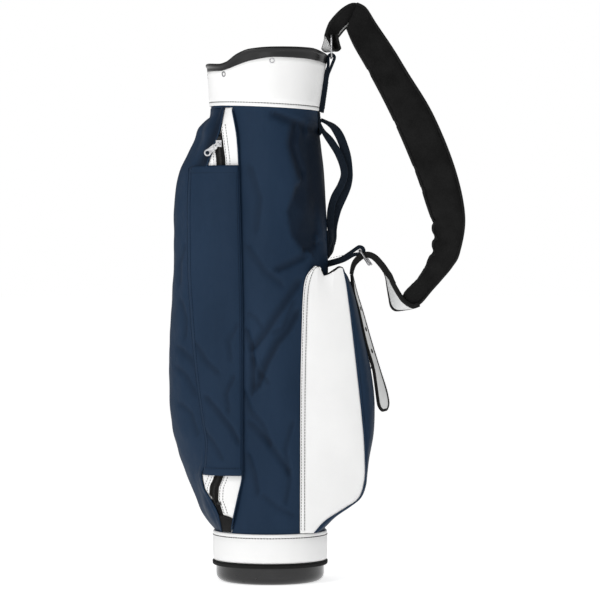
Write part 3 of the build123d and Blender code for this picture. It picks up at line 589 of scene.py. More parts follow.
def tube_lift(angle, z):
    """How far the cloth stands out of the tube's plain shape: soft dents and creases."""
    p = tube_point(angle, z)
    calm = smoothstep(TUBE_LOW, 130, z) * (1 - smoothstep(740, 790, z))
    dent = 1.1 * ripple(p.x, p.y, p.z * 0.4, 55) + 0.45 * ripple(p.x, p.y, p.z * 0.6, 22, 5)
    return (dent - 0.6) * calm - tube_fold(angle, z)


def tube_painted_shade(angle, z):
    """The painted shade of the cloth, 0 to 1: darker in deep folds, and painted shade over the hollow towards the
    handle.
    """
    x = tube_point(angle, z).x
    hollow_shade = 0.0
    if sin(angle) > 0:
        hollow_shade = smoothstep(38, 76, x) * smoothstep(545, 640, z) * (1 - smoothstep(752, 785, z))
    return max(hollow_shade, min(tube_fold(angle, z) / FULL_SHADE_TUBE_FOLD, 0.8))


def make_tube():
    """The navy shell, creased where the cloth hangs between its stays, and a dark lining behind it."""
    angles, heights = np.linspace(0, 2 * pi, 220, endpoint=False), np.linspace(TUBE_LOW, TUBE_HIGH, 190)
    shell = weave_sheet("body_shell", [[tube_point(a, z, tube_lift(a, z)) for a in angles] for z in heights],
                        "nylon_navy", close=True)
    # painted shade in the shell's folds and over the hollow towards the handle, darkening its colour
    set_crease_shade(shell, [tube_painted_shade(a, z) for z in heights for a in angles])
    thicken(shell, 1.5)
    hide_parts("body_tube")
    lining = weave_sheet("body_lining", [
        [tube_point(a, z, tube_lift(a, z) - LINING_GAP) for a in np.linspace(0, 2 * pi, 110, endpoint=False)]
        for z in np.linspace(75, 812, 80)
    ], "lining_black", close=True)
    on_bag(shell, lining)


# ---------------------------------------------------------------- collar: cuff and rim
COLLAR = Matrix.Translation((-9.5, 0, 790)) @ Matrix.Rotation(radians(2.5), 4, "Y")
COLLAR_R, COLLAR_FLARE = 91.3, 0.098
collar_r = track((-5, COLLAR_R - 0.49), (125, COLLAR_R + COLLAR_FLARE * 125))
rim_top = track((-104, 71.5), (-78, 69.0), (-66, 72.0), (-48, 85.0), (-28, 93.6), (12, 98.8), (72, 101.5),
                (92, 97.0), (106, 91))
rim_foot = track((-104, 56.5), (-76, 56.6), (-62, 60.0), (-46, 66.4), (-22, 74.6), (18, 81.6), (62, 82.4),
                 (92, 80.0), (106, 77.5))
RIM_TURNS = 180


def collar_point(angle, r, z):
    """A point in the collar's own frame; the angle is measured from +X towards +Y."""
    return COLLAR @ Vector((r * cos(angle), r * sin(angle), z))


def collar_out(angle):
    return (COLLAR.to_3x3() @ Vector((cos(angle), sin(angle), -COLLAR_FLARE))).normalized()


def make_rim():
    """The moulded rim: band, rolled bead and inner skirt in one ring of sections."""
    sections = []
    for a in np.linspace(0, 2 * pi, RIM_TURNS, endpoint=False):
        top, foot = rim_top(99 * cos(a)), rim_foot(99 * cos(a))
        def out(offset, z, angle=a):
            return collar_point(angle, collar_r(z) + offset, z)
        row = [out(1.1, foot), out(1.5, foot + 1.0), out(1.4, top - 8.6), out(1.7, top - 7.2),
               out(3.0, top - 6.2)]
        for k in range(9):
            turn = radians(-20 + 25 * k)
            row.append(out(-0.6 + 4.2 * cos(turn), top - 3.4 + 3.4 * sin(turn)))
        row += [out(-4.7, top - 5), out(-4.6, foot), out(-4.6, foot - 24), out(-4.2, foot - 25),
                out(-2.6, foot - 25),
                out(-2.2, foot - 24), out(-2.2, foot - 1)]
        sections.append(row)
    rim = weave_sheet("top_rim_moulding", sections, "rim_plastic", close=True, close_rows=True)
    subdivide(rim)
    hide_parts("top_rim")
    on_bag(rim)


def make_top_cuff():
    """The vinyl cuff: a little fullness between its hem and the rim, with a sewn channel by the hem."""
    sections = []
    for a in np.linspace(0, 2 * pi, RIM_TURNS, endpoint=False):
        foot = rim_foot(99 * cos(a)) + 1.5
        wob = 0.35 * ripple(90 * cos(a), 90 * sin(a), 0, 30)
        def out(offset, z, angle=a):
            return collar_point(angle, collar_r(z) + offset, z)
        row = [out(-1.6, 0.5), out(-0.4, -0.2), out(0.5, 0.4), out(0.8, 2.2), out(0.55, 5.0), out(-0.15, 6.0),
               out(0.55, 7.0)]
        row += [out(0.75 + wob * sin(pi * t), 7 + (foot - 7) * t) for t in (0.12, 0.3, 0.5, 0.7, 0.88, 1.0)]
        row += [out(-1.2, foot), out(-1.6, foot * 0.5)]
        sections.append(row)
    cuff = weave_sheet("top_cuff_vinyl", sections, "vinyl_white", close=True, close_rows=True,
                       row_paints=[0] * 13 + [1] * 2, paints_used=["vinyl_white", "lining_black"])
    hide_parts("top_cuff")
    angles = np.linspace(0, 2 * pi, 200)
    path = [collar_point(a, collar_r(6), 6.0) for a in angles]
    seam = stitches("top_cuff_stitches", path, lambda i: collar_out(angles[i]), "thread_black", 5.0, 4.5, 0.72,
                    0.35)
    on_bag(cuff, seam)


# ---------------------------------------------------------------- base
def band_section(r_in, r_out, z0, z1, corner):
    """Points round a band's section with rounded corners."""
    row = []
    for cx, cz, start in ((r_out - corner, z0 + corner, -90), (r_out - corner, z1 - corner, 0),
                          (r_in + corner * 0.6, z1 - corner, 90), (r_in + corner * 0.6, z0 + corner, 180)):
        for k in range(4):
            turn = radians(start + 30 * k)
            row.append((cx + corner * cos(turn), cz + corner * sin(turn)))
    return row


def ring_of(name, section, paint, count=160, wobble=0.0):
    rows = []
    for a in np.linspace(0, 2 * pi, count, endpoint=False):
        extra = wobble * ripple(90 * cos(a), 90 * sin(a), 0, 26, 3)
        rows.append([((r + extra) * cos(a), (r + extra) * sin(a), z) for r, z in section])
    return weave_sheet(name, rows, paint, close=True, close_rows=True)


def make_base():
    low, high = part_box("base_cuff")
    z0, z1, r = low.z / MM, high.z / MM, high.x / MM
    section = [(r - 1.4, z0), (r - 0.5, z0 + 3), (r, z0 + 12), (r + 0.1, z0 + 28), (r - 0.1, z1 - 9),
               (r - 0.9, z1 - 6.6),
               (r - 0.1, z1 - 4.4), (r - 0.3, z1 - 1.8), (r - 1.2, z1 - 0.2), (r - 2.6, z1),
               (r - 3.4, z1 - 1.5), (r - 3.5, z0 + 2)]
    cuff = ring_of("base_cuff_vinyl", section, "vinyl_white", wobble=0.25)
    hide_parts("base_cuff")
    angles = np.linspace(0, 2 * pi, 200)
    path = [((r - 0.5) * cos(a), (r - 0.5) * sin(a), z1 - 6.6) for a in angles]
    seam = stitches("base_cuff_stitches", path, lambda i: (cos(angles[i]), sin(angles[i]), 0), "thread_black",
                    5.0, 4.5, 0.70, 0.35)

    low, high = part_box("base_trim")
    trim = ring_of("base_binding", band_section(high.x / MM - 5.6, high.x / MM, low.z / MM, high.z / MM, 2.6),
                   "binding_black")
    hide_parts("base_trim")
    path = [((high.x / MM) * cos(a), (high.x / MM) * sin(a), high.z / MM - 2.6) for a in angles]
    hem = stitches("base_binding_stitches", path, lambda i: (cos(angles[i]), sin(angles[i]), 0), "thread_black",
                   4.6, 3.4, 0.35, 0.1)
    on_bag(cuff, seam, trim, hem)


# ---------------------------------------------------------------- apparel pocket
full_r = track((-51, 98), (-30.5, 130), (-15, 160), (0, 170), (13, 158), (27, 135), (41, 112.5), (60, 97))
left_reach = track(
    (85, 91), (101, 105), (118, 116), (145, 127), (181, 141), (220, 154), (258, 164), (302, 169), (353, 170),
    (453, 166), (537, 161), (605, 160), (655, 156), (685, 151), (716, 137), (740, 125), (755, 120.5),
                   (770, 108),
    (777, 100), (791, 99),
)
near_fullness = track((86, 0), (108, 0.6), (132, 0.97), (150, 1), (700, 1), (745, 0.97), (770, 0.6),
                      (790, 0.04))
vinyl_left = track(
    (86, -78), (100, -80.3), (116, -83.9), (145.6, -98.7), (158.7, -107.4), (182.4, -111.9), (200, -105),
                   (240, -100), (430, -118),
    (620, -118), (693.9, -101.4), (718.5, -93.1), (749.8, -81.3), (788, -74),
)
vinyl_right = track((86, -63.5), (110, -59.7), (147, -51.6), (181, -45.1), (430, -46), (694, -50.3),
                    (737, -52.9), (789, -61.8))
zip_x = track(
    (110, -82.5), (119, -85.5), (130, -88.8), (142, -92.8), (158.8, -92), (175, -86.3), (188.4, -82.4),
              (215, -82), (430, -83),
    (694, -80.5), (727, -84.0), (745, -86.3), (764, -89.0),
)
POCKET_LOW, POCKET_HIGH, FAR_SEAM = 86.0, 790.0, -51
FLAP_ROOM = 4.2
TAPE_HALF = 8.4
NEAR_ANGLES = [1.5 * k for k in range(53)]


def apparel_r(angle, z):
    """Distance of the pocket's cloth from the bag's axis; the angle is in degrees from -X towards -Y."""
    base = tube_r(z) - tube_x(z) * cos(radians(angle)) + 0.6
    left = (left_reach(z) - (tube_r(z) - tube_x(z))) / 74.5
    share = smoothstep(14, 42, abs(angle))
    return base + (full_r(angle) - 95.5) * (left * (1 - share) + near_fullness(z) * share)


def apparel_at(angle, z, lift=0.0):
    r = apparel_r(angle, z) + lift
    return Vector((-r * cos(radians(angle)), -r * sin(radians(angle)), z))


@lru_cache(maxsize=None)
def apparel_row(z):
    """The x of the pocket's near side at each of NEAR_ANGLES, at one height."""
    return [-apparel_r(angle, z) * cos(radians(angle)) for angle in NEAR_ANGLES]


def apparel_angle(x, z):
    """The angle at which the near side of the pocket lies at this x."""
    row = apparel_row(round(float(z), 3))
    i = min(max(bisect_right(row, x) - 1, 0), len(row) - 2)
    share = (x - row[i]) / (row[i + 1] - row[i])
    return NEAR_ANGLES[i] + (NEAR_ANGLES[i + 1] - NEAR_ANGLES[i]) * min(max(share, 0.0), 1.0)


def on_apparel(x, z, lift=0.0):
    return apparel_at(apparel_angle(x, z), z, lift)


def apparel_out(x, z):
    """Outward normal of the near side of the pocket."""
    along_x = on_apparel(x + 1, z) - on_apparel(x - 1, z)
    along_z = on_apparel(x, z + 1) - on_apparel(x, z - 1)
    normal = along_z.cross(along_x).normalized()
    return normal if normal.y < 0 else -normal


def make_apparel_panel():
    """The bulging navy panel, which folds over the vinyl's left edge."""
    rows, painted_shades = [], []
    for z in np.linspace(POCKET_LOW, POCKET_HIGH, 150):
        edge = apparel_angle(vinyl_left(z), z)
        calm = smoothstep(POCKET_LOW, 150, z) * (1 - smoothstep(730, POCKET_HIGH, z))
        row = []
        for t in np.linspace(0, 1, 90):
            angle = FAR_SEAM + (edge - FAR_SEAM) * t
            p = apparel_at(angle, z)
            to_edge = (1 - t) * (edge - FAR_SEAM)
            crease = fold_depth(p.x, z, PANEL_FOLDS) if angle > 0 else 0.0
            fold = 2.3 * ripple(p.x, p.y, z * 0.35, 48, 2) + 0.9 * ripple(p.x, p.y, z * 0.6, 18, 7) - crease
            lip = 2.4 * (1 - smoothstep(1.5, 6, to_edge))
            dip = -2.2 * smoothstep(3, 8, to_edge) * (1 - smoothstep(8, 20, to_edge)) * smoothstep(600, 720, z)
            row.append(apparel_at(angle, z, fold * calm * smoothstep(0, 0.1, t) * smoothstep(2, 12, to_edge)
                                  + lip + dip))
            # painted shade: dark along the flap's folded edge near the top, less so by the top seam, and in the panel's
            # creases
            hollow_shade = 0.85 * (1 - smoothstep(3, 17, to_edge)) * smoothstep(668, 705, z)
            painted_shades.append(max(hollow_shade * (1 - 0.5 * smoothstep(740, 790, z)), crease / FULL_SHADE_FOLD))
        rows.append(row)
    panel = weave_sheet("apparel_pocket_shell", rows, "nylon_navy")
    set_crease_shade(panel, painted_shades)
    thicken(panel, 1.7)
    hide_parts("apparel_pocket_panel")
    zs = np.linspace(POCKET_LOW + 1, POCKET_HIGH - 1, 120)
    near_edge = [on_apparel(vinyl_left(z), z, 2.6) for z in zs]
    far_edge = [apparel_at(-50.5, z, 1.2) for z in zs]
    lip_cord = tube_along("apparel_pocket_near_piping", near_edge, 1.3, "nylon_navy")
    far_cord = tube_along("apparel_pocket_far_piping", far_edge, 1.5, "nylon_navy")
    seam = stitches("apparel_pocket_far_stitches", [apparel_at(-47, z, 1.9) for z in zs],
                    lambda i: -Vector((cos(radians(-47)), sin(radians(-47)), 0)), "thread_navy", 5.0, 3.6, 0.4)
    on_bag(panel, lip_cord, far_cord, seam)


def hem_profile(distance):
    """Height of the vinyl beside the zip: two sewn folds, then flat."""
    d = abs(distance) - TAPE_HALF
    if d < 0:
        return -1.0
    rise = 1.5 * smoothstep(-0.2, 0.8, d)
    groove = 0.9 * max(0.0, 1 - abs(d - 2.2) / 0.9) + 0.8 * max(0.0, 1 - abs(d - 7.4) / 0.9)
    return rise - 0.9 * smoothstep(7.0, 10, d) - groove - 0.3 * smoothstep(10, 16, d)


def tuck_under_flap(obj):
    """Sinks whatever lies under the panel's folded edge, so that it never pokes through."""
    for v in obj.data.vertices:
        x, z = v.co.x / MM, v.co.z / MM
        share = 1 - smoothstep(vinyl_left(z) - 2.5, vinyl_left(z) + 1.0, x)
        out = Vector((v.co.x, v.co.y, 0)).normalized()
        v.co -= out * (FLAP_ROOM * share * MM)


def make_apparel_vinyl():
    rows = []
    for z in np.linspace(POCKET_LOW, POCKET_HIGH - 1, 190):
        left, right, middle = vinyl_left(z) - 7, vinyl_right(z), zip_x(z)
        zip_here = smoothstep(112, 122, z) * (1 - smoothstep(758, 768, z))
        row = []
        for t in np.linspace(0, 1, 84):
            x = left + (right - left) * t
            height = hem_profile(x - middle) * zip_here + 0.5 * ripple(x, 0, z * 0.5, 26, 9) * zip_here
            row.append(on_apparel(x, z, height))
        rows.append(row)
    vinyl = weave_sheet("apparel_zip_panel", rows, "vinyl_white")
    tuck_under_flap(vinyl)
    thicken(vinyl, 1.6)
    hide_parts("apparel_pocket_vinyl")
    pieces = [vinyl]
    zs = np.linspace(POCKET_LOW + 2, POCKET_HIGH - 2, 130)
    pieces.append(tube_along("apparel_zip_panel_piping", [on_apparel(vinyl_right(z), z, 0.9) for z in zs], 1.2,
                             "nylon_navy"))
    runs = np.linspace(118, 762, 164)
    for side in (-1, 1):
        for k, reach in enumerate((2.2, 7.4)):
            offset = side * (TAPE_HALF + reach)
            kept = [z for z in runs if zip_x(z) + offset > vinyl_left(z) + 1]
            path = [on_apparel(zip_x(z) + offset, z, 0.75 - 0.15 * k) for z in kept]
            pieces.append(stitches(f"apparel_zip_stitches_{'left' if side < 0 else 'right'}_{k}", path,
                                   lambda i, zz=kept, o=offset: apparel_out(zip_x(zz[i]) + o, zz[i]),
                                   "thread_black", 4.6, 4.1, 0.60, 0.25))
    on_bag(*pieces)


TOOTH_PITCH, TOOTH_SHIFT = 1.35, 0.55
TOOTH_LAYERS = ((2.1, 0.55, 0.6), (2.1, 0.55, 1.7), (1.5, 0.35, 2.1))  # (half width, half length, height)


def zip_parts(prefix, path, outs, sides, half, replaced_tape, replaced_coil):
    """Two tapes, each half wide, and two rows of interlocking teeth along a path."""
    made = []
    for side in (-1, 1):
        rows = []
        for p, n, s in zip(path, outs, sides):
            rows.append([p + s * (side * d) + n * h for d,
                         h in ((0.5, 0.5), (2.2, 0.8), (3.4, 0.35), (0.76 * half, 0.3), (half, 0.1))])
        if side < 0:
            rows = [row[::-1] for row in rows]
        tape = weave_sheet(f"{prefix}_tape_{'a' if side < 0 else 'b'}", rows, "zip_tape_black")
        thicken(tape, 0.6)
        made.append(tape)
    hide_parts(replaced_tape)
    # teeth: one small rounded block each, alternating from side to side
    arc = np.concatenate([[0], np.cumsum([(b - a).length for a, b in zip(path, path[1:])])])
    verts, faces = [], []
    for k in range(int((arc[-1] - 12) / TOOTH_PITCH)):
        at = 6 + k * TOOTH_PITCH
        i = min(int(np.searchsorted(arc, at, "right")) - 1, len(path) - 2)
        t = (at - arc[i]) / (arc[i + 1] - arc[i])
        p, n, s = path[i].lerp(path[i + 1], t), outs[i], sides[i]
        along = n.cross(s)
        shift = TOOTH_SHIFT if k % 2 else -TOOTH_SHIFT
        first = len(verts)
        for half_s, half_a, height in TOOTH_LAYERS:
            for a, b in ((-1, -1), (1, -1), (1, 1), (-1, 1)):
                verts.append(p + s * (shift + a * half_s) + along * (b * half_a) + n * height)
        for layer in range(2):
            for c in range(4):
                a0, a1 = first + 4 * layer + c, first + 4 * layer + (c + 1) % 4
                faces.append((a0, a1, a1 + 4, a0 + 4))
        faces.append((first + 8, first + 9, first + 10, first + 11))
    teeth = add_piece(f"{prefix}_teeth", verts, faces, "zip_coil_black", smooth=False)
    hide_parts(replaced_coil)
    made.append(teeth)
    on_bag(*made)
    return made


def make_apparel_zip():
    zs = np.linspace(112, 762, 226)
    path = [on_apparel(zip_x(z), z, -0.7) for z in zs]
    outs = [apparel_out(zip_x(z), z) for z in zs]
    sides = []
    for i, n in enumerate(outs):
        along = (path[min(i + 1, len(path) - 1)] - path[max(i - 1, 0)]).normalized()
        side = along.cross(n).normalized()
        sides.append(side if side.x > 0 else -side)
    for piece in zip_parts("apparel_zip", path, outs, sides, 8.8, "apparel_zip_tape", "apparel_zip_coil"):
        tuck_under_flap(piece)

    # the black patch over the zip's lower end
    rows = []
    for t in np.linspace(0, 1, 26):
        top = 116.5 - 6.5 * t * t - 2 * (1 - t) ** 4
        column = []
        for v in np.linspace(0, 1, 18):
            z = 86.5 + (top - 86.5) * v
            x = vinyl_left(z) - 0.5 + (vinyl_right(z) - vinyl_left(z) + 0.5) * t
            crown = 2.2 * sin(pi * min(v * 1.2, 1) * 0.5) * sin(pi * (0.08 + 0.84 * t)) ** 0.6 + 0.6
            column.append(on_apparel(x, z, crown + 0.4 * ripple(x, 0, z, 9)))
        rows.append(column)
    patch = weave_sheet("zip_end_patch", rows, "zip_tape_black")
    thicken(patch, 1.4, 1.0)
    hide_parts("zip_end_tab")
    on_bag(patch)


# ---------------------------------------------------------------- umbrella sleeve
sleeve_left = track((178, -112), (205, -108), (234, -106.5), (260, -110.5), (330, -121), (430, -131),
                    (537, -137), (620, -137.5), (696, -135))
sleeve_right = track((178, -44.5), (430, -45), (696, -51))
SLEEVE_LOW, SLEEVE_HIGH = 182.0, 693.5


def sleeve_at(t, z, lift=0.0):
    """A point on the sleeve, t across from its -X edge; it stands off the zip like a flat tube."""
    x0, x1 = sleeve_left(z), sleeve_right(z)
    a, b = on_apparel(x0, z), on_apparel(x1, z)
    x = x0 + (x1 - x0) * t
    y = a.y + (b.y - a.y) * t
    stand = 3.0 + 13.0 * max(sin(pi * min(max(t, 0), 1)), 0) ** 0.55
    ends = 1 + 0.12 * (smoothstep(640, 694, z) + 1 - smoothstep(182, 230, z))
    return Vector((x, y - stand * ends * (1 if 0 < t < 1 else 0.4) - lift, z))


def make_umbrella_sleeve():
    rows, painted_shades = [], []
    heights = [SLEEVE_LOW + (SLEEVE_HIGH - SLEEVE_LOW) * v for v in np.linspace(0, 1, 150)]
    for z in heights:
        row = []
        from_end = min(z - SLEEVE_LOW, SLEEVE_HIGH - z)
        hem = 0.9 * (1 - smoothstep(12.5, 13.5, from_end)) - 0.5 * max(0, 1 - abs(from_end - 12) / 1.2)
        for t in np.linspace(0, 1, 56):
            p = sleeve_at(t, z)
            soft = 1.3 * ripple(p.x, p.y, z * 0.4, 42, 4) + 0.5 * ripple(p.x, p.y, z * 0.8, 17, 11)
            crease = fold_depth(p.x, z, SLEEVE_FOLDS) * smoothstep(0, 0.1, t) * smoothstep(1, 0.9, t)
            # painted shade in the sleeve's creases
            painted_shades.append(crease / FULL_SHADE_FOLD)
            q = sleeve_at(t, z, hem + soft * sin(pi * t) - crease)
            q.z -= 4.5 * (1 - smoothstep(0, 0.10, t)) * smoothstep(600, SLEEVE_HIGH, z)
            row.append(q)
        rows.append(row)
    sleeve = weave_sheet("umbrella_sleeve_cloth", rows, "nylon_navy")
    set_crease_shade(sleeve, painted_shades)
    thicken(sleeve, 1.5)
    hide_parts("umbrella_sleeve")
    pieces = [sleeve]
    zs = np.linspace(SLEEVE_LOW + 1, SLEEVE_HIGH - 3, 110)
    pieces.append(tube_along("umbrella_sleeve_near_piping", [sleeve_at(1, z, 0.4) for z in zs], 1.3,
                             "nylon_navy"))
    pieces.append(tube_along("umbrella_sleeve_left_piping", [sleeve_at(0, z, 0.2) for z in zs], 1.2,
                             "nylon_navy"))
    for name, z in (("top", SLEEVE_HIGH - 12), ("bottom", SLEEVE_LOW + 12)):
        ts = np.linspace(0.02, 0.98, 50)
        pieces.append(stitches(f"umbrella_sleeve_stitches_{name}", [sleeve_at(t, z, 0.5) for t in ts],
                               lambda i: (0, -1, 0), "thread_navy", 4.5, 3.4, 0.4, 0.1))
    for t in (0.06, 0.95):
        pieces.append(stitches(f"umbrella_sleeve_stitches_{'left' if t < 0.5 else 'right'}",
                               [sleeve_at(t, z, 0.2) for z in zs],
                               lambda i: (0, -1, 0), "thread_navy", 5.0, 3.8, 0.38, 0.1))
    on_bag(*pieces)


# ---------------------------------------------------------------- ball pocket
BALL_ROWS = 96
ball_left = line_through((50.5, 86), (51, 190), (51.5, 330), (54, 440), (56.5, 488), (61, 506), (68, 519),
                         (76, 526), count=BALL_ROWS)
ball_edge = line_through((73, 86), (92, 106), (125, 126), (148, 142), (157.5, 172), (158, 205), (154, 266),
                         (138, 410),
                         (129, 481), (121.5, 523.5), count=BALL_ROWS)
ball_front = line_through((84, 86), (94, 92), (113, 110), (138, 127.5), (154, 141), (161.5, 158), (164, 180),
                          (167, 205),
                          (174.5, 250), (175.5, 300), (170, 348), (162.5, 385), (154.5, 421), (143.5, 470),
                          (133, 505),
                          (121.5, 524), count=BALL_ROWS)
ball_top = track((68, 519), (76, 526), (81, 525.5), (86, 519), (90, 510.5), (97, 513), (108, 520), (117, 525),
                 (121.5, 523.5))


def ball_side_y(x, z, puff=0.0):
    """How far a side panel lies from the middle: a plane drawn in towards the front, never inside the tube."""
    plane = 79 - (x - 51) * 0.2736
    reach = tube_r(z) ** 2 - (x - tube_x(z)) ** 2
    return max(plane, sqrt(max(reach, 0)) + 1.6) + puff


def ball_side_at(v, width_at, fraction=None):
    """A point on the near side panel: row v, this far from the left seam (or as a fraction of the width)."""
    i = min(int(v * (BALL_ROWS - 1)), BALL_ROWS - 2)
    f = v * (BALL_ROWS - 1) - i
    left = ball_left[i] * (1 - f) + ball_left[i + 1] * f
    right = ball_edge[i] * (1 - f) + ball_edge[i + 1] * f
    width = hypot(*(right - left))
    u = fraction if fraction is not None else width_at / width
    x, z = left + (right - left) * u
    rise = smoothstep(0.88, 1.0, v)
    z += (ball_top(x) - z) * rise ** 2 if v > 0.88 else 0
    puff = 3.4 * sin(pi * min(max(u, 0), 1)) ** 0.8 * sin(pi * min(v * 0.96 + 0.02, 1)) ** 0.6
    puff -= 4.0 * rise * max(0, 1 - ((x - 92) / 13) ** 2) if abs(x - 92) < 13 else 0
    puff += 0.8 * ripple(x, 0, z * 0.5, 40, 6) * sin(pi * u)
    return Vector((x, -ball_side_y(x, z, puff), z))


def seam_profile(distance):
    """The folded strip along the panel's sewn edge."""
    fold = 1.1 * (1 - smoothstep(7.2, 8.6, distance))
    return fold - 0.7 * max(0, 1 - abs(distance - 1.6) / 0.8) - 0.8 * max(0, 1 - abs(distance - 7.3) / 0.9)


def make_ball_sides():
    steps = [0, 0.7, 1.2, 1.6, 2.0, 2.6, 4, 5.6, 6.4, 6.9, 7.3, 7.7, 8.3, 9.2, 10.5]
    for side, name in ((1, "near"), (-1, "far")):
        rows = []
        for v in np.linspace(0, 1, 130):
            whole = (ball_side_at(v, 0, 1) - ball_side_at(v, 0, 0)).length
            start = min(10.5, whole * 0.5)
            us = [d * start / 10.5 / whole for d in steps] + list(np.linspace(start / whole, 1, 46)[1:])
            row = []
            for u in us:
                p = ball_side_at(v, 0, u)
                p.y -= seam_profile(u * whole)
                row.append(Vector((p.x, p.y * side, p.z)))
            rows.append(row if side > 0 else row[::-1])
        panel = weave_sheet(f"ball_pocket_side_{name}_vinyl", rows, "vinyl_white")
        thicken(panel, 1.8)
        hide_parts(f"ball_pocket_side_{name}")
        pieces = [panel]
        vs = np.linspace(0.01, 0.985, 120)
        for k, d in enumerate((1.6, 7.3)):
            path = []
            for v in vs:
                p = ball_side_at(v, d)
                path.append(Vector((p.x, (p.y - 0.35) * side, p.z)))
            pieces.append(stitches(f"ball_pocket_stitches_{name}_{k}", path, lambda i, s=side: (0, -s, 0),
                                   "thread_black", 4.8, 4.3, 0.52, 0.2))
        # the bound opening edge along the top
        top = [ball_side_at(1.0, 0, u) for u in np.linspace(0.02, 1, 60)]
        path = [Vector((p.x, (p.y + 0.9) * side, p.z + 0.4)) for p in top]
        pieces.append(tube_along(f"ball_pocket_top_binding_{name}", path, 1.25, "binding_black"))
        on_bag(*pieces)


def ball_front_at(v, t, lift=0.0):
    """A point on the nylon front: t from -1 at the near side panel's edge to 1 at the far one's."""
    i = min(int(v * (BALL_ROWS - 1)), BALL_ROWS - 2)
    f = v * (BALL_ROWS - 1) - i
    edge = ball_edge[i] * (1 - f) + ball_edge[i + 1] * f
    front = ball_front[i] * (1 - f) + ball_front[i + 1] * f
    power = 2.6
    reach = (1 - min(abs(t), 1) ** power) ** (1 / power)
    x, z = edge + (front - edge) * reach
    out = Vector((1, 0, 0)) if v > 0.3 else Vector((1, 0, -0.6)).normalized()
    return Vector((x, ball_side_y(edge[0], edge[1], 0.4) * t, z)) + out * lift


def make_ball_front():
    rows = []
    for v in np.linspace(0, 1, 130):
        row = []
        for t in np.linspace(-1, 1, 72):
            t = sin(t * pi / 2) * 0.35 + t * 0.65
            p = ball_front_at(v, t)
            soft = 1.5 * ripple(p.x, p.y, p.z * 0.5, 38, 8) * (1 - t ** 4) * sin(pi * v) ** 0.5
            row.append(ball_front_at(v, t, soft - 0.8 * (1 - t ** 6)))
        rows.append(row)
    front = weave_sheet("ball_pocket_front_cloth", rows, "nylon_navy")
    thicken(front, 1.6)
    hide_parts("ball_pocket_front")
    pieces = [front]
    for side, name in ((-1, "near"), (1, "far")):
        path = [ball_front_at(v, side * 0.999) + Vector((0.3, 0.5 * side, 0)) for v in np.linspace(0, 1, 130)]
        pieces.append(tube_along(f"ball_pocket_piping_{name}", path, 1.1, "nylon_navy"))
    on_bag(*pieces)


def make_ball_zip():
    path = []
    for v in np.linspace(0.5, 0.99, 400):
        width = ball_front_at(v, 1).y
        p = ball_front_at(v, 27 / width, 0.5)
        if 352 < p.z < 501:
            path.append(p)
    path = [Vector(p) for p in resample(path, 70)]
    outs, sides = [], []
    for i in range(len(path)):
        along = (path[min(i + 1, len(path) - 1)] - path[max(i - 1, 0)]).normalized()
        n = Vector((along.z, 0, -along.x)).normalized()
        n = n if n.x > 0 else -n
        outs.append(n)
        sides.append(Vector((0, 1, 0)))
    zip_parts("ball_zip", path, outs, sides, 6.6, "ball_zip_tape", "ball_zip_coil")


# ---------------------------------------------------------------- straps and webbing
def frames_along(path, width_dirs):
    """Position, width direction and face normal at each point of a strap."""
    frames = []
    for i, p in enumerate(path):
        along = Vector(path[min(i + 1, len(path) - 1)]) - Vector(path[max(i - 1, 0)])
        along.normalize()
        width = Vector(width_dirs[i] if isinstance(width_dirs, list) else width_dirs)
        width = (width - along * width.dot(along)).normalized()
        frames.append((Vector(p), width, along.cross(width).normalized(), along))
    return frames


def strap_section(half_width, half_thick, corner, rounds=4):
    """A rounded rectangle as (across, up) points, anticlockwise from the right."""
    points = []
    for cx, cy, start in ((half_width - corner, half_thick - corner, 0),
                          (-half_width + corner, half_thick - corner, 90),
                          (-half_width + corner, -half_thick + corner, 180),
                          (half_width - corner, -half_thick + corner, 270)):
        for k in range(rounds):
            turn = radians(start + 90 * k / (rounds - 1))
            points.append((cx + corner * cos(turn), cy + corner * sin(turn)))
    return points


def sweep_strap(name, frames, half_width, half_thick, paint, corner=None, scale=None, middle_columns=5):
    """A closed strap of rounded section along frames; scale(s) thins it along its length."""
    corner = corner or half_thick * 0.8
    section = strap_section(half_width, half_thick, corner)
    full = []
    for k, point in enumerate(section):  # extra points across the two wide faces
        full.append(point)
        following = section[(k + 1) % len(section)]
        if abs(following[0] - point[0]) > half_width * 0.6:
            for m in range(1, middle_columns + 1):
                t = m / (middle_columns + 1)
                full.append((point[0] + (following[0] - point[0]) * t,
                             point[1] + (following[1] - point[1]) * t))
    rows = []
    for i, (p, width, up, _) in enumerate(frames):
        size = scale(i / (len(frames) - 1)) if scale else 1.0
        rows.append([p + width * a + up * (b * size) for a, b in full])
    rows.insert(0, [Vector(np.mean([tuple(c) for c in rows[0]], axis=0)).lerp(c, 0.55) - frames[0][3] * 0.3
                    for c in rows[0]])
    rows.append([Vector(np.mean([tuple(c) for c in rows[-1]], axis=0)).lerp(c, 0.55) + frames[-1][3] * 0.3
                 for c in rows[-1]])
    strap = weave_sheet(name, rows, paint, close=True)
    mesh = strap.data
    count = len(full)
    total = len(mesh.vertices)
    bm = bmesh.new()
    bm.from_mesh(mesh)
    bm.verts.ensure_lookup_table()
    for first in (0, total - count):
        ring = [bm.verts[first + k] for k in range(count)]
        face = bm.faces.new(ring if first else ring[::-1])
        face.smooth = True
    bm.to_mesh(mesh)
    bm.free()
    return strap


def edge_binding(name, frames, half_width, half_thick, reach, scale=None):
    """A folded binding over each long edge of a strap."""
    made = []
    for side, label in ((-1, "near"), (1, "far")):
        shifted = [(p + w * (side * (half_width - reach / 2 + 0.5)), w, u, a) for p, w, u, a in frames]
        made.append(sweep_strap(f"{name}_{label}", shifted, reach / 2, half_thick, "binding_black",
                                corner=min(half_thick, reach / 2) * 0.95, scale=scale, middle_columns=2))
    return made


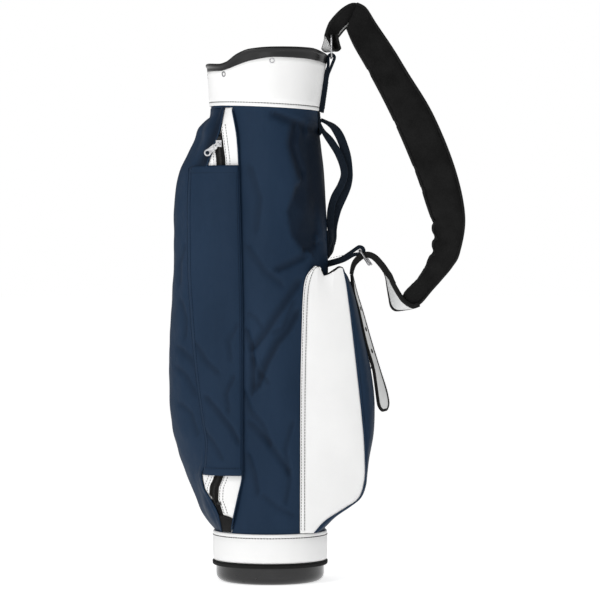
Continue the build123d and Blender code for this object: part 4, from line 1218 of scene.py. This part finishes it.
def strap_layers(name, frames, half_width, thick, fleece_up, scale=None):
    """The shoulder strap's make-up: fleece on one face, grained vinyl on the other, bound edges."""
    up = 1 if fleece_up else -1
    sizes = [scale(i / (len(frames) - 1)) if scale else 1.0 for i in range(len(frames))]
    fleece = [(p + u * (up * thick * size * 0.22), w, u, a) for size, (p, w, u, a) in zip(sizes, frames)]
    vinyl = [(p - u * (up * thick * size * 0.30), w, u, a) for size, (p, w, u, a) in zip(sizes, frames)]
    made = {
        "fleece": sweep_strap(f"{name}_fleece", fleece, half_width - 1.0, thick * 0.28, "fleece_black",
                              scale=scale),
        "vinyl": sweep_strap(f"{name}_vinyl", vinyl, half_width - 1.0, thick * 0.18, "strap_vinyl",
                             scale=scale),
    }
    made["near"], made["far"] = edge_binding(f"{name}_binding", frames, half_width, thick * 0.56, 5.0, scale)
    for side in (-1, 1):
        path = [p + w * (side * (half_width - 5.6)) - u * (up * thick * size * 0.48) for size,
                (p, w, u, a) in zip(sizes, frames)]
        normals = [-u * up for p, w, u, a in frames]
        made[f"stitch{side}"] = stitches(f"{name}_stitches_{'near' if side < 0 else 'far'}", path,
                                         lambda i, n=normals: n[i], "thread_black", 4.5, 3.4, 0.35, 0.1)
    return made


HANDLE_MID, HANDLE_X = 676.5, 0.111
handle_near = ((83, 764), (90, 751), (102, 735.5), (114, 716), (122.5, 694), (124, 678), (118, 661), (108, 643),
               (102.5, 624), (101, 608), (101.5, 593), (103, 575), (99, 556))
handle_far = ((85, 772), (94, 768), (105.5, 760.5), (115, 748), (122.5, 730.5), (128.5, 710), (131, 688),
              (131, 674), (128, 659),
              (121.5, 643), (113, 624), (107.5, 605), (104.5, 587), (105, 569.5), (103, 553), (95, 541))


def make_handles():
    """Two webbing loops, each cut into an upper and a lower half."""
    for label, points, y, half in (("near", handle_near, -6.2, 6.2), ("far", handle_far, 2.4, 7.4)):
        path = line_through(*[(x, y, z) for x, z in points], count=150)
        path = [Vector(p) + Vector((0, 0.7 * sin(p[2] / 19), 0)) for p in path]
        # the webbing's flat side faces -Y along the loop and turns to lie on the tube at both ends
        frames = []
        for i, (p, width, up, along) in enumerate(frames_along(path, (0, 1, 0))):
            share = i / (len(path) - 1)
            turn = radians(78) * (1 - smoothstep(0.02, 0.20, share) * (1 - smoothstep(0.80, 0.93, share)))
            frames.append((p, up * cos(turn) + width * sin(turn), width * cos(turn) - up * sin(turn), along))
        web = sweep_strap(f"handle_webbing_{label}", frames, half, 2.4, "webbing_navy", corner=2.0)
        edges = []
        for side in (-1, 1):
            line = [p + w * (side * (half - 1.6)) - n * 2.45 for p, w, n, a in frames[20:-14]]
            edges.append(stitches(f"handle_stitches_{label}_{'inner' if side < 0 else 'outer'}", line,
                                  lambda i, f=frames: -f[i + 20][2], "thread_navy", 4.4, 3.3, 0.36, 0.05))
        if label == "near":
            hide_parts("handle_loop_near", "handle_anchors")
        else:
            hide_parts("handle_loop_far")
        split_handle(web)
        for edge in edges:
            split_handle(edge)
    patches = []
    for label, z0, z1 in (("upper", 746, 787), ("lower", 543, 587)):
        rows = []
        for z in np.linspace(z0, z1, 16):
            row = []
            for t in np.linspace(-1, 1, 14):
                angle = pi + atan2(-1 + 12.5 * t, 92)
                side = min(min(z - z0, z1 - z) / 3, (1 - abs(t)) * 12 / 3, 1)
                row.append(tube_point(angle, z, 0.4 + 2.8 * side ** 0.5))
            rows.append(row)
        patch = weave_sheet(f"handle_patch_{label}", rows, "webbing_navy")
        thicken(patch, 1.2)
        box_path = []
        for a, b in (((-0.75, 0.12), (0.75, 0.12)), ((0.75, 0.12), (0.75, 0.88)), ((0.75, 0.88), (-0.75, 0.88)),
                     ((-0.75, 0.88), (-0.75, 0.12)), ((-0.75, 0.12), (0.75, 0.88))):
            for k in range(8):
                t, v = a[0] + (b[0] - a[0]) * k / 8, a[1] + (b[1] - a[1]) * k / 8
                box_path.append(tube_point(pi + atan2(-1 + 12.5 * t, 92), z0 + (z1 - z0) * v, 3.3))
        box = stitches(f"handle_patch_stitches_{label}", box_path, lambda i: (1, 0, 0), "thread_navy", 3.6, 2.8,
                       0.42, 0.15)
        patches += [patch, box]
    on_bag(*patches)


def split_handle(piece):
    """Cuts a handle piece across its middle into an upper half and a copied lower half."""
    lower = piece.copy()
    lower.data = piece.data.copy()
    lower.name = piece.name + "_lower"
    bpy.context.scene.collection.objects.link(lower)
    for part, sign, start, end in ((piece, 1, 765.0, 715.0), (lower, -1, 585.0, 640.0)):
        bm = bmesh.new()
        bm.from_mesh(part.data)
        doomed = [f for f in bm.faces if sign * (f.calc_center_median().z / MM - HANDLE_MID) < 0]
        bmesh.ops.delete(bm, geom=doomed, context="FACES")
        bm.to_mesh(part.data)
        bm.free()
        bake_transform(part)


def make_ring_tab():
    """Doubled webbing from the cuff up over the ring's lower bar."""
    low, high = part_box("strap_ring")
    bar = Vector(((low.x + high.x) / 2 / MM, 0, low.z / MM + 1.7))
    def on_cuff(z, off):
        return COLLAR @ Vector((collar_r(z) + off, 0, z))
    outer = [on_cuff(-1.5, 6.2), on_cuff(24, 6.2), on_cuff(46, 6.2), on_cuff(62, 6.6), on_cuff(73, 9.2)]
    arc = [bar + Vector((5.3 * cos(radians(a)), 0, 5.3 * sin(radians(a))))
           for a in (-25, 20, 65, 110, 150, 190)]
    inner = [on_cuff(76, 4.6), on_cuff(64, 2.6), on_cuff(40, 2.0), on_cuff(14, 1.9), on_cuff(-0.5, 1.9)]
    path = line_through(*outer, *arc, *inner, count=120)
    web = sweep_strap("ring_tab_webbing", frames_along(path, (0, 1, 0)), 13.8, 2.4, "webbing_navy", corner=1.6)
    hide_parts("ring_tab")
    pieces = [web]
    for y in (-11, 11):
        line = [on_cuff(z, 8.5) + Vector((0, y, 0)) for z in np.linspace(4, 50, 20)]
        pieces.append(stitches(f"ring_tab_stitches_{'near' if y < 0 else 'far'}", line, lambda i: (1, 0, 0),
                               "thread_navy",
                               4.4, 3.4, 0.4, 0.3))
    on_bag(*pieces)


def make_lower_tab():
    """Doubled webbing from the tube to the buckle's heel bar."""
    low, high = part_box("buckle_frame")
    heel = Vector((low.x / MM + 1.8, 0, high.z / MM - 1.8))
    arc = [heel + Vector((6.4 * cos(radians(a)), 0, 6.4 * sin(radians(a))))
           for a in (118, 85, 50, 15, -20, -55, -90, -118)]
    upper = [(90, 0, 531.6), (104, 0, 535.2), (120, 0, 540.2), (134, 0, 549)]
    lower = [(139, 0, 545.5), (124, 0, 537.0), (106, 0, 531.0), (90, 0, 526.8)]
    path = line_through(*[Vector(p) for p in upper], *arc, *[Vector(p) for p in lower], count=130)
    web = sweep_strap("lower_tab_webbing", frames_along(path, (0, 1, 0)), 13.8, 3.0, "webbing_navy", corner=1.8)
    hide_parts("lower_tab")
    pieces = [web]
    for y in (-11, 11):
        line = [Vector((x, y, 536.2 + (x - 100) * 0.22 + 4.0)) for x in np.linspace(100, 128, 14)]
        pieces.append(stitches(f"lower_tab_stitches_{'near' if y < 0 else 'far'}", line, lambda i: (-0.2, 0, 1),
                               "thread_navy", 4.2, 3.2, 0.4, 0.1))
    on_bag(*pieces)


def make_strap_ends():
    """The strap's loop through the ring, and its run through the buckle."""
    low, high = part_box("strap_end_loop")
    x = (low.x + high.x) / 2 / MM
    loop = [(x - 9.3, 0, 914), (x - 9.6, 0, 902), (x - 9.0, 0, 893.5), (x - 5, 0, 888.8), (x, 0, 887.6),
            (x + 5, 0, 888.8),
            (x + 9.0, 0, 893.5), (x + 9.6, 0, 902), (x + 9.3, 0, 914)]
    path, widths = [], []
    for p in line_through(*loop, count=60):
        turn = radians(38) * (1 - smoothstep(891, 912, p[2]))
        path.append(Vector((x + (p[0] - x) * cos(turn), (p[0] - x) * sin(turn), p[2])))
        widths.append(Vector((-sin(turn), cos(turn), 0)))
    parts = strap_layers("strap_end_loop", frames_along(path, widths), 14.6, 4.6, True)
    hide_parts("strap_end_loop")
    on_bag(*parts.values())

    run = ((207.5, 497), (202, 507), (196, 516), (190, 525), (184, 532.5), (178, 539), (172, 543.5), (165, 546),
           (158, 545.6),
           (151, 542), (144.5, 536), (140, 529), (137.6, 521), (136.3, 513.5))
    frames = frames_along(line_through(*[(a, 0, b) for a, b in run], count=90), (0, 1, 0))
    parts = strap_layers("strap_buckle_run", frames, 16.0, 9.4, False,
                         lambda s: 0.7 + 0.3 * smoothstep(0, 0.2, s) - 0.4 * smoothstep(0.72, 1.0, s))
    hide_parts("strap_buckle_run")
    on_bag(*parts.values())


def make_strap_tail():
    """The free end: vinyl outwards, fleece inwards, a binding right round its rounded tip, and punched holes."""
    near = track((284, 177.5), (306, 173.8), (348, 170.5), (399, 156.8), (451, 145.4), (487, 136.4),
                 (514, 134.2))
    far = track((284, 201.5), (306, 198.2), (348, 183.5), (399, 167.6), (451, 152.2), (487, 141.0),
                (514, 134.2))
    zs = np.linspace(513, 284, 120)
    centres = [Vector(((near(z) + far(z)) / 2 + 2.3, 0, z)) for z in zs]
    widths = [Vector((far(z) - near(z), 32, 0)).normalized() for z in zs]
    frames = frames_along(centres, widths)
    length = sum((b - a).length for a, b in zip(centres, centres[1:]))
    half, tip = 16.0, 15.5

    def half_at(s):
        left = (1 - s) * length
        return half if left > tip else half * sqrt(max(1 - ((tip - left) / tip) ** 2, 0.0))

    for label, shift, paint, half_thick in (("fleece", 1.1, "fleece_black", 1.2),
                                            ("vinyl", -1.0, "strap_vinyl", 0.9)):
        rows = []
        for i, (p, w, u, a) in enumerate(frames[:-1]):
            out = -u if u.x > 0 else u
            reach = half_at(i / (len(frames) - 1)) - 1.0
            if reach < 2:
                continue
            rows.append([p + w * (c * reach) + out * (shift + b * half_thick) for c, b in
                         ((-1, -0.4), (-0.6, -1), (0, -1), (0.6, -1), (1, -0.4), (1, 0.4), (0.6, 1), (0, 1),
                          (-0.6, 1), (-1, 0.4))])
        layer = weave_sheet(f"strap_tail_{label}", rows, paint, close=True)
        if label == "vinyl":
            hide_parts("strap_tail")
        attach(layer, "tail")

    count = len(frames)
    outline = []
    for sign, order in ((-1, range(count)), (1, reversed(range(count)))):
        for i in order:
            p, w, u, _ = frames[i]
            reach = half_at(i / (count - 1)) - 2.3
            if reach > 0.5:
                outline.append((p + w * (sign * reach), u))
    source = np.array([tuple(p) for p, _ in outline])
    points = resample(source, 260)
    rows = []
    for i, p in enumerate(points):
        nearest = int(np.argmin(np.linalg.norm(source - p, axis=1)))
        up = outline[nearest][1]
        along = Vector(points[min(i + 1, len(points) - 1)]) - Vector(points[max(i - 1, 0)])
        along.normalize()
        side = along.cross(up).normalized()
        rows.append([Vector(p) + side * (2.7 * cos(t)) + up * (2.75 * sin(t))
                     for t in np.linspace(0, 2 * pi, 12, endpoint=False)])
    binding = weave_sheet("strap_tail_binding", rows, "binding_black", close=True)
    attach(binding, "tail")

    for k, z in enumerate((455, 420, 385)):
        i = int(np.argmin([abs(f[0].z - z) for f in frames]))
        p, w, u, a = frames[i]
        out = u if u.x > 0 else -u
        rows = []
        for t in np.linspace(0, 2 * pi, 28, endpoint=False):
            radial = w * cos(t) + a * sin(t)
            rows.append([p + out * 2.1 + radial * 2.2, p + out * 2.5 + radial * 2.5,
                         p + out * 2.5 + radial * 3.6, p + out * 1.9 + radial * 3.9])
        eyelet = weave_sheet(f"strap_tail_hole_{k}", rows, "thread_black", close_rows=True)
        # a flat dark disc in each hole: painted shade standing in for the hole's depth
        disc = [[p + out * 2.05 + (w * cos(t) + a * sin(t)) * r for r in (0.02, 2.4)]
                for t in np.linspace(0, 2 * pi, 28, endpoint=False)]
        hole_shade_disc = weave_sheet(f"strap_tail_hole_{k}_dark", disc, "lining_black", close_rows=True)
        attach(eyelet, "tail")
        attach(hole_shade_disc, "tail")


# ---------------------------------------------------------------- shoulder strap
LAYER = ((-1, -0.4), (-0.92, -0.85), (-0.6, -1), (0, -1), (0.6, -1), (0.92, -0.85), (1, -0.4),
         (1, 0.4), (0.92, 0.85), (0.6, 1), (0, 1), (-0.6, 1), (-0.92, 0.85), (-1, 0.4))


def ruled_layer(name, near_edge, far_edge, start, stop, offset, half_thick, paint):
    """One layer of a strap between two edge lines, from start to stop of its width, offset along its normal."""
    rows = []
    for i, (a, b) in enumerate(zip(near_edge, far_edge)):
        a, b = Vector(a), Vector(b)
        before, after = max(i - 1, 0), min(i + 1, len(near_edge) - 1)
        along = (Vector(near_edge[after]) + Vector(far_edge[after]) - Vector(near_edge[before])
                 - Vector(far_edge[before])).normalized()
        low, high = a.lerp(b, start), a.lerp(b, stop)
        up = along.cross(high - low).normalized()
        middle, half = (low + high) / 2 + up * offset, (high - low) / 2
        rows.append([middle + half * c + up * (d * half_thick) for c, d in LAYER])
    for end, row in ((0, rows[0]), (len(rows), rows[-1])):
        centre = sum(row, Vector()) / len(row)
        rows.insert(end, [centre + (p - centre) * 0.02 for p in row])
    return weave_sheet(name, rows, paint, close=True)


def make_upper_lead():
    """The lead from the pad's fold down to the ring, turning as it goes."""
    outer = line_through((95.5, -5, 903), (92.5, -7, 913), (97.5, -6, 930.2), (103, -4, 939.7),
                         (113.5, -1, 952), (124.5, 2, 961.5),
                         (137, 3, 967.5), (150, 3, 967), count=70)
    inner = line_through((106, 9, 903), (110.5, 8, 905.5), (116.5, 7, 912.5), (123, 6, 920.5), (129, 6, 926.5),
                         (134, 6, 931.5),
                         (140, 6, 938), (150, 6, 945), count=70)
    whole = {
        "fleece": ruled_layer("strap_lead_fleece", outer, inner, 0.07, 0.84, -1.0, 1.9, "fleece_black"),
        "vinyl": ruled_layer("strap_lead_vinyl", outer, inner, 0.05, 0.95, 1.6, 1.2, "strap_vinyl"),
        "outer": ruled_layer("strap_lead_binding_outer", outer, inner, -0.01, 0.14, -0.2, 3.3, "binding_black"),
        "inner": ruled_layer("strap_lead_binding_inner", outer, inner, 0.92, 1.02, 1.2, 2.3, "binding_black"),
    }
    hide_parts("strap_upper_lead")
    for piece in whole.values():
        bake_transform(piece)


def make_lower_lead():
    """The lead from the buckle, which turns over and shows its vinyl where it meets the pad."""
    near = line_through((190, -16, 525), (195.5, -16, 518.5), (201, -16, 511.5), (205, -16, 500.5),
                        (213.5, -15.5, 485.5),
                        (222, -14, 473), (230, -12, 465), (240, -10.5, 460), (250, -10, 463), count=80)
    far = line_through((190, 16, 525), (193.5, 16, 516), (196.5, 16, 506), (198.5, 15, 492), (201, 14, 475),
                       (204, 13, 460),
                       (211, 11, 453.5), (224, 9, 455), (243, 7, 459), count=80)
    whole = {
        "fleece": ruled_layer("strap_low_lead_fleece", near, far, 0.05, 0.95, 1.6, 1.7, "fleece_black"),
        "vinyl": ruled_layer("strap_low_lead_vinyl", near, far, 0.05, 0.95, -1.7, 1.1, "strap_vinyl"),
        "near": ruled_layer("strap_low_lead_binding_near", near, far, -0.02, 0.13, 0, 3.9, "binding_black"),
        "far": ruled_layer("strap_low_lead_binding_far", near, far, 0.84, 1.04, 0, 3.3, "binding_black"),
    }
    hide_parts("strap_lower_lead")
    for piece in whole.values():
        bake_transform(piece)


PAD_ROWS = 150
pad_inner = line_through((127, 925), (139.8, 896), (167.5, 847.2), (206, 772), (243, 685), (262, 628),
                         (270.5, 604), (272.5, 600),
                         (271, 594), (271.3, 586), (275, 576), (271.5, 568), (271, 560), (272.5, 552),
                         (266.5, 543), (257, 522),
                         (248, 508), (243, 503), (236, 495), (228, 487), (222, 479), count=PAD_ROWS)
pad_outer = line_through((146, 968), (161.1, 959), (178.2, 932.4), (205, 892.8), (230.6, 851), (273, 781),
                         (310, 690), (326.5, 610),
                         (318, 550), (305.3, 525.6), (287.8, 504.3), (271.2, 485.5), (254.8, 466), (243, 458.5),
                         (233, 461.5),
                         (226, 470), count=PAD_ROWS)
# creases: height at the inner edge, how far each reaches across, its fall towards the outer edge, its depth
PAD_CREASES = ((602, 1.0, 26, 4.4), (576, 0.8, -20, 4.0), (551, 0.75, -30, 4.0), (765, 1.0, 34, 2.8),
               (690, 0.6, 14, 2.0),
               (655, 0.5, -8, 2.0), (528, 0.7, -24, 2.4), (503, 0.6, -18, 2.4), (852, 0.6, 20, 1.6))


def pad_crease(u, z):
    """How deep the pad is creased at a share u of its width from the inner edge."""
    depth = 0.0
    for at, reach, fall, deep in PAD_CREASES:
        near = max(0.0, 1 - abs(z - (at + fall * u)) / (5.5 + 9 * u)) ** 1.5
        depth += deep * near * (1 - smoothstep(reach * 0.4, reach, u))
    return depth


PAD_A, PAD_B = np.array(pad_inner), np.array(pad_outer)
PAD_SPAN = PAD_B - PAD_A
PAD_WIDTH = np.linalg.norm(PAD_SPAN, axis=1)


def pad_share(p):
    """The share of the pad's width at a point of it, along the nearest row."""
    away = np.array((p.x, p.z)) - PAD_A
    off = np.abs(away[:, 0] * PAD_SPAN[:, 1] - away[:, 1] * PAD_SPAN[:, 0]) / PAD_WIDTH
    off += np.maximum(0.0, np.linalg.norm(away - PAD_SPAN / 2, axis=1) - 45)
    row = int(np.argmin(off))
    return min(max(float(away[row] @ PAD_SPAN[row]) / PAD_WIDTH[row] ** 2, 0.0), 1.0)


def pad_slab(name, margin, front, back, paints_used, crown=0.0, columns=16):
    """A closed slab of the pad's outline, margin inside it, from front to back along Y, in a front and a back paint."""
    rows = []
    for a, b in zip(pad_inner, pad_outer):
        width = hypot(*(b - a))
        inset = min(margin / width, 0.45)
        us = inset + (1 - 2 * inset) * np.linspace(0, 1, columns)
        face, rear = [], []
        for u in us:
            x, z = a + (b - a) * u
            lift = crown * max(sin(pi * u), 0) ** 0.6
            face.append((x, front - lift, z))
            rear.append((x, back, z))
        rows.append(face + rear[::-1])
    centre_first = np.mean(rows[0], axis=0)
    centre_last = np.mean(rows[-1], axis=0)
    rows.insert(0, [tuple(centre_first + (np.array(p) - centre_first) * 0.02) for p in rows[0]])
    rows.append([tuple(centre_last + (np.array(p) - centre_last) * 0.02) for p in rows[-1]])
    kinds = [0 if i < columns - 1 else 1 for i in range(2 * columns)]
    return weave_sheet(name, rows, None, close=True, row_paints=kinds, paints_used=paints_used)


SIM_CAP, SIM_VOXEL, SIM_FRAMES, AIR_PRESSURE, EDGE_SLIP = 5.5 * MM, 5.0 * MM, 20, 4.0, 0.2


def inflate(pad):
    """Remeshes the pad and lets air pressure swell it."""
    scene = bpy.context.scene
    mod = pad.modifiers.new("remesh", "REMESH")
    mod.mode, mod.voxel_size, mod.use_smooth_shade = "VOXEL", SIM_VOXEL, True
    bake(pad)
    rest = np.empty(len(pad.data.vertices) * 3)
    pad.data.vertices.foreach_get("co", rest)
    cloth = pad.modifiers.new("air", "CLOTH")
    cloth.settings.use_pressure = True
    cloth.settings.uniform_pressure_force = AIR_PRESSURE
    cloth.settings.effector_weights.gravity = 0.0
    cloth.settings.quality = 5
    cloth.point_cache.frame_start, cloth.point_cache.frame_end = 1, SIM_FRAMES
    for step in range(1, SIM_FRAMES + 1):
        scene.frame_set(step)
    bake(pad)
    swollen = np.empty_like(rest)
    pad.data.vertices.foreach_get("co", swollen)
    move = (swollen - rest).reshape(-1, 3)
    far = np.linalg.norm(move, axis=1, keepdims=True)
    move *= np.minimum(1.0, SIM_CAP / np.maximum(far, 1e-9))
    move[:, (0, 2)] *= EDGE_SLIP  # the bindings hold the edges where they are
    pad.data.vertices.foreach_set("co", (rest.reshape(-1, 3) + move).ravel())
    scene.frame_set(1)


def bake(obj):
    """Replaces an object's mesh with what its modifiers make of it."""
    depsgraph = bpy.context.evaluated_depsgraph_get()
    made = bpy.data.meshes.new_from_object(obj.evaluated_get(depsgraph), depsgraph=depsgraph)
    old, obj.data = obj.data, made
    obj.modifiers.clear()
    bpy.data.meshes.remove(old)


def make_pad():
    low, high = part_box("strap_pad")
    front, back = low.y / MM, high.y / MM
    pad = pad_slab("strap_pad_fleece", 0.4, front + 4.6, back, ["fleece_black", "fleece_black"], crown=2.4)
    inflate(pad)
    pad.data.materials.clear()
    pad.data.materials.append(paints["fleece_black"])
    for v in pad.data.vertices:
        p = v.co / MM
        u = pad_share(p)
        p.y = min(p.y, back + 1.0)
        if p.y < -1:
            p.y += pad_crease(u, p.z)
            p.y += 1.4 * ripple(p.x, 0, p.z, 34, 12) + 0.6 * ripple(p.x, 0, p.z, 13, 13)
        p.y = max(p.y, front - 1.5)
        v.co = p * MM
    pad.data.shade_smooth()
    subdivide(pad)
    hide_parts("strap_pad")
    cover = pad_slab("strap_cover_vinyl", 0.6, back + 0.4, back + 3.0, ["fleece_black", "strap_vinyl"])
    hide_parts("strap_cover")
    pieces = [pad, cover]
    for label, edge, other in (("inner", pad_inner, pad_outer), ("outer", pad_outer, pad_inner)):
        rows = []
        for i in range(PAD_ROWS):
            a, b = edge[i], other[i]
            inward = (b - a) / max(hypot(*(b - a)), 1e-6)
            notch = 1.3 * pad_crease(0.0, a[1]) if label == "inner" else 0.0
            x, z = a + inward * (2.4 + notch)
            side = Vector((inward[0], 0, inward[1]))
            rows.append([Vector((x, -1.6, z)) + side * (2.9 * cos(t)) + Vector((0, 1, 0)) * (4.9 * sin(t))
                         for t in np.linspace(0, 2 * pi, 14, endpoint=False)])
        for end, row in ((0, rows[0]), (len(rows), rows[-1])):
            centre = sum(row, Vector()) / len(row)
            rows.insert(end, [centre + (p - centre) * 0.05 for p in row])
        binding = weave_sheet(f"strap_pad_binding_{label}", rows, "binding_black", close=True)
        line = [Vector((*(edge[i] + (other[i] - edge[i]) / max(hypot(*(other[i] - edge[i])), 1e-6) * 4.6),))
                for i in range(4, PAD_ROWS - 4)]
        line = [Vector((p.x, -5.8, p.y)) for p in line]
        seam = stitches(f"strap_pad_stitches_{label}", line, lambda i: (0, -1, 0), "thread_black", 5.0, 3.8,
                        0.4, 0.1)
        pieces += [binding, seam]
    for piece in pieces:
        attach(piece, "strap")


# ---------------------------------------------------------------- inside the mouth, and fittings
def make_divider_sleeve():
    rows = []
    for y in np.linspace(-84, 84, 60):
        seam = 1 - 0.12 * max(0, 1 - abs(abs(y) - 82) / 3)
        row = []
        for t in np.linspace(0, 2 * pi, 28, endpoint=False):
            power = 2.8
            c, s = cos(t), sin(t)
            r = (abs(c) ** power + abs(s) ** power) ** (-1 / power)
            wob = 1 + 0.03 * ripple(6 * c, y, 13 * s, 14, 15)
            row.append(COLLAR @ Vector((6.6 * r * c * seam * wob, y, 66 + 13.8 * r * s * seam * wob)))
        rows.append(row)
    sleeve = weave_sheet("divider_padding", rows, "fleece_black", close=True)
    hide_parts("divider_sleeve")
    line = [COLLAR @ Vector((0, y, 66 + 13.6)) for y in np.linspace(-80, 80, 60)]
    seam = stitches("divider_padding_stitches", line, lambda i: (0, 0, 1), "thread_black", 5, 3.8, 0.4, 0.2)
    on_bag(sleeve, seam)


def make_stay_sleeves():
    made = []
    for k, angle in enumerate((0, 120, 240)):
        x, y = 82 * cos(radians(angle)), 82 * sin(radians(angle))
        top = COLLAR @ Vector((x, y, 52))
        start, end = Vector((x, y, 4.5)), top
        line = [start.lerp(end, t) for t in np.linspace(0.10, 0.83, 60)]
        line = [p + Vector((0.25 * ripple(p.x, p.y, p.z, 20), 0, 0)) for p in line]
        made.append(tube_along(f"stay_sleeve_{k}", line, 4.7, "lining_black", sides=16, taper=False))
    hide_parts("stay_sleeves")
    on_bag(*made)


NODE_PAINTS = {
    "base_cup": "base_plastic", "stay_rods": "stay_alloy", "cuff_rivets": "hardware_chrome",
               "divider_bar": "rim_plastic",
    "strap_ring": "hardware_chrome", "buckle_frame": "hardware_chrome", "buckle_prong": "hardware_chrome",
    "ball_zip_slider": "hardware_chrome", "ball_zip_puller": "hardware_chrome",
               "ball_zip_stops": "hardware_chrome",
    "apparel_zip_slider": "hardware_chrome", "apparel_zip_puller": "hardware_chrome",
               "apparel_zip_stops": "zip_coil_black",
}
SOFTENED = ("ball_zip_slider", "ball_zip_puller", "apparel_zip_slider", "apparel_zip_puller",
            "apparel_zip_stops", "ball_zip_stops")


def paint_fittings():
    for node, paint in NODE_PAINTS.items():
        obj = nodes[node]
        for slot in obj.material_slots:
            slot.material = paints[paint]
        if node in SOFTENED:
            round_edges(obj, 0.35, 2, 50)


make_stage()
make_tube()
make_rim()
make_top_cuff()
make_base()
make_apparel_panel()
make_apparel_vinyl()
make_apparel_zip()
make_umbrella_sleeve()
make_ball_sides()
make_ball_front()
make_ball_zip()
make_handles()
make_ring_tab()
make_lower_tab()
make_strap_ends()
make_strap_tail()
make_upper_lead()
make_lower_lead()
make_pad()
make_divider_sleeve()
make_stay_sleeves()
paint_fittings()
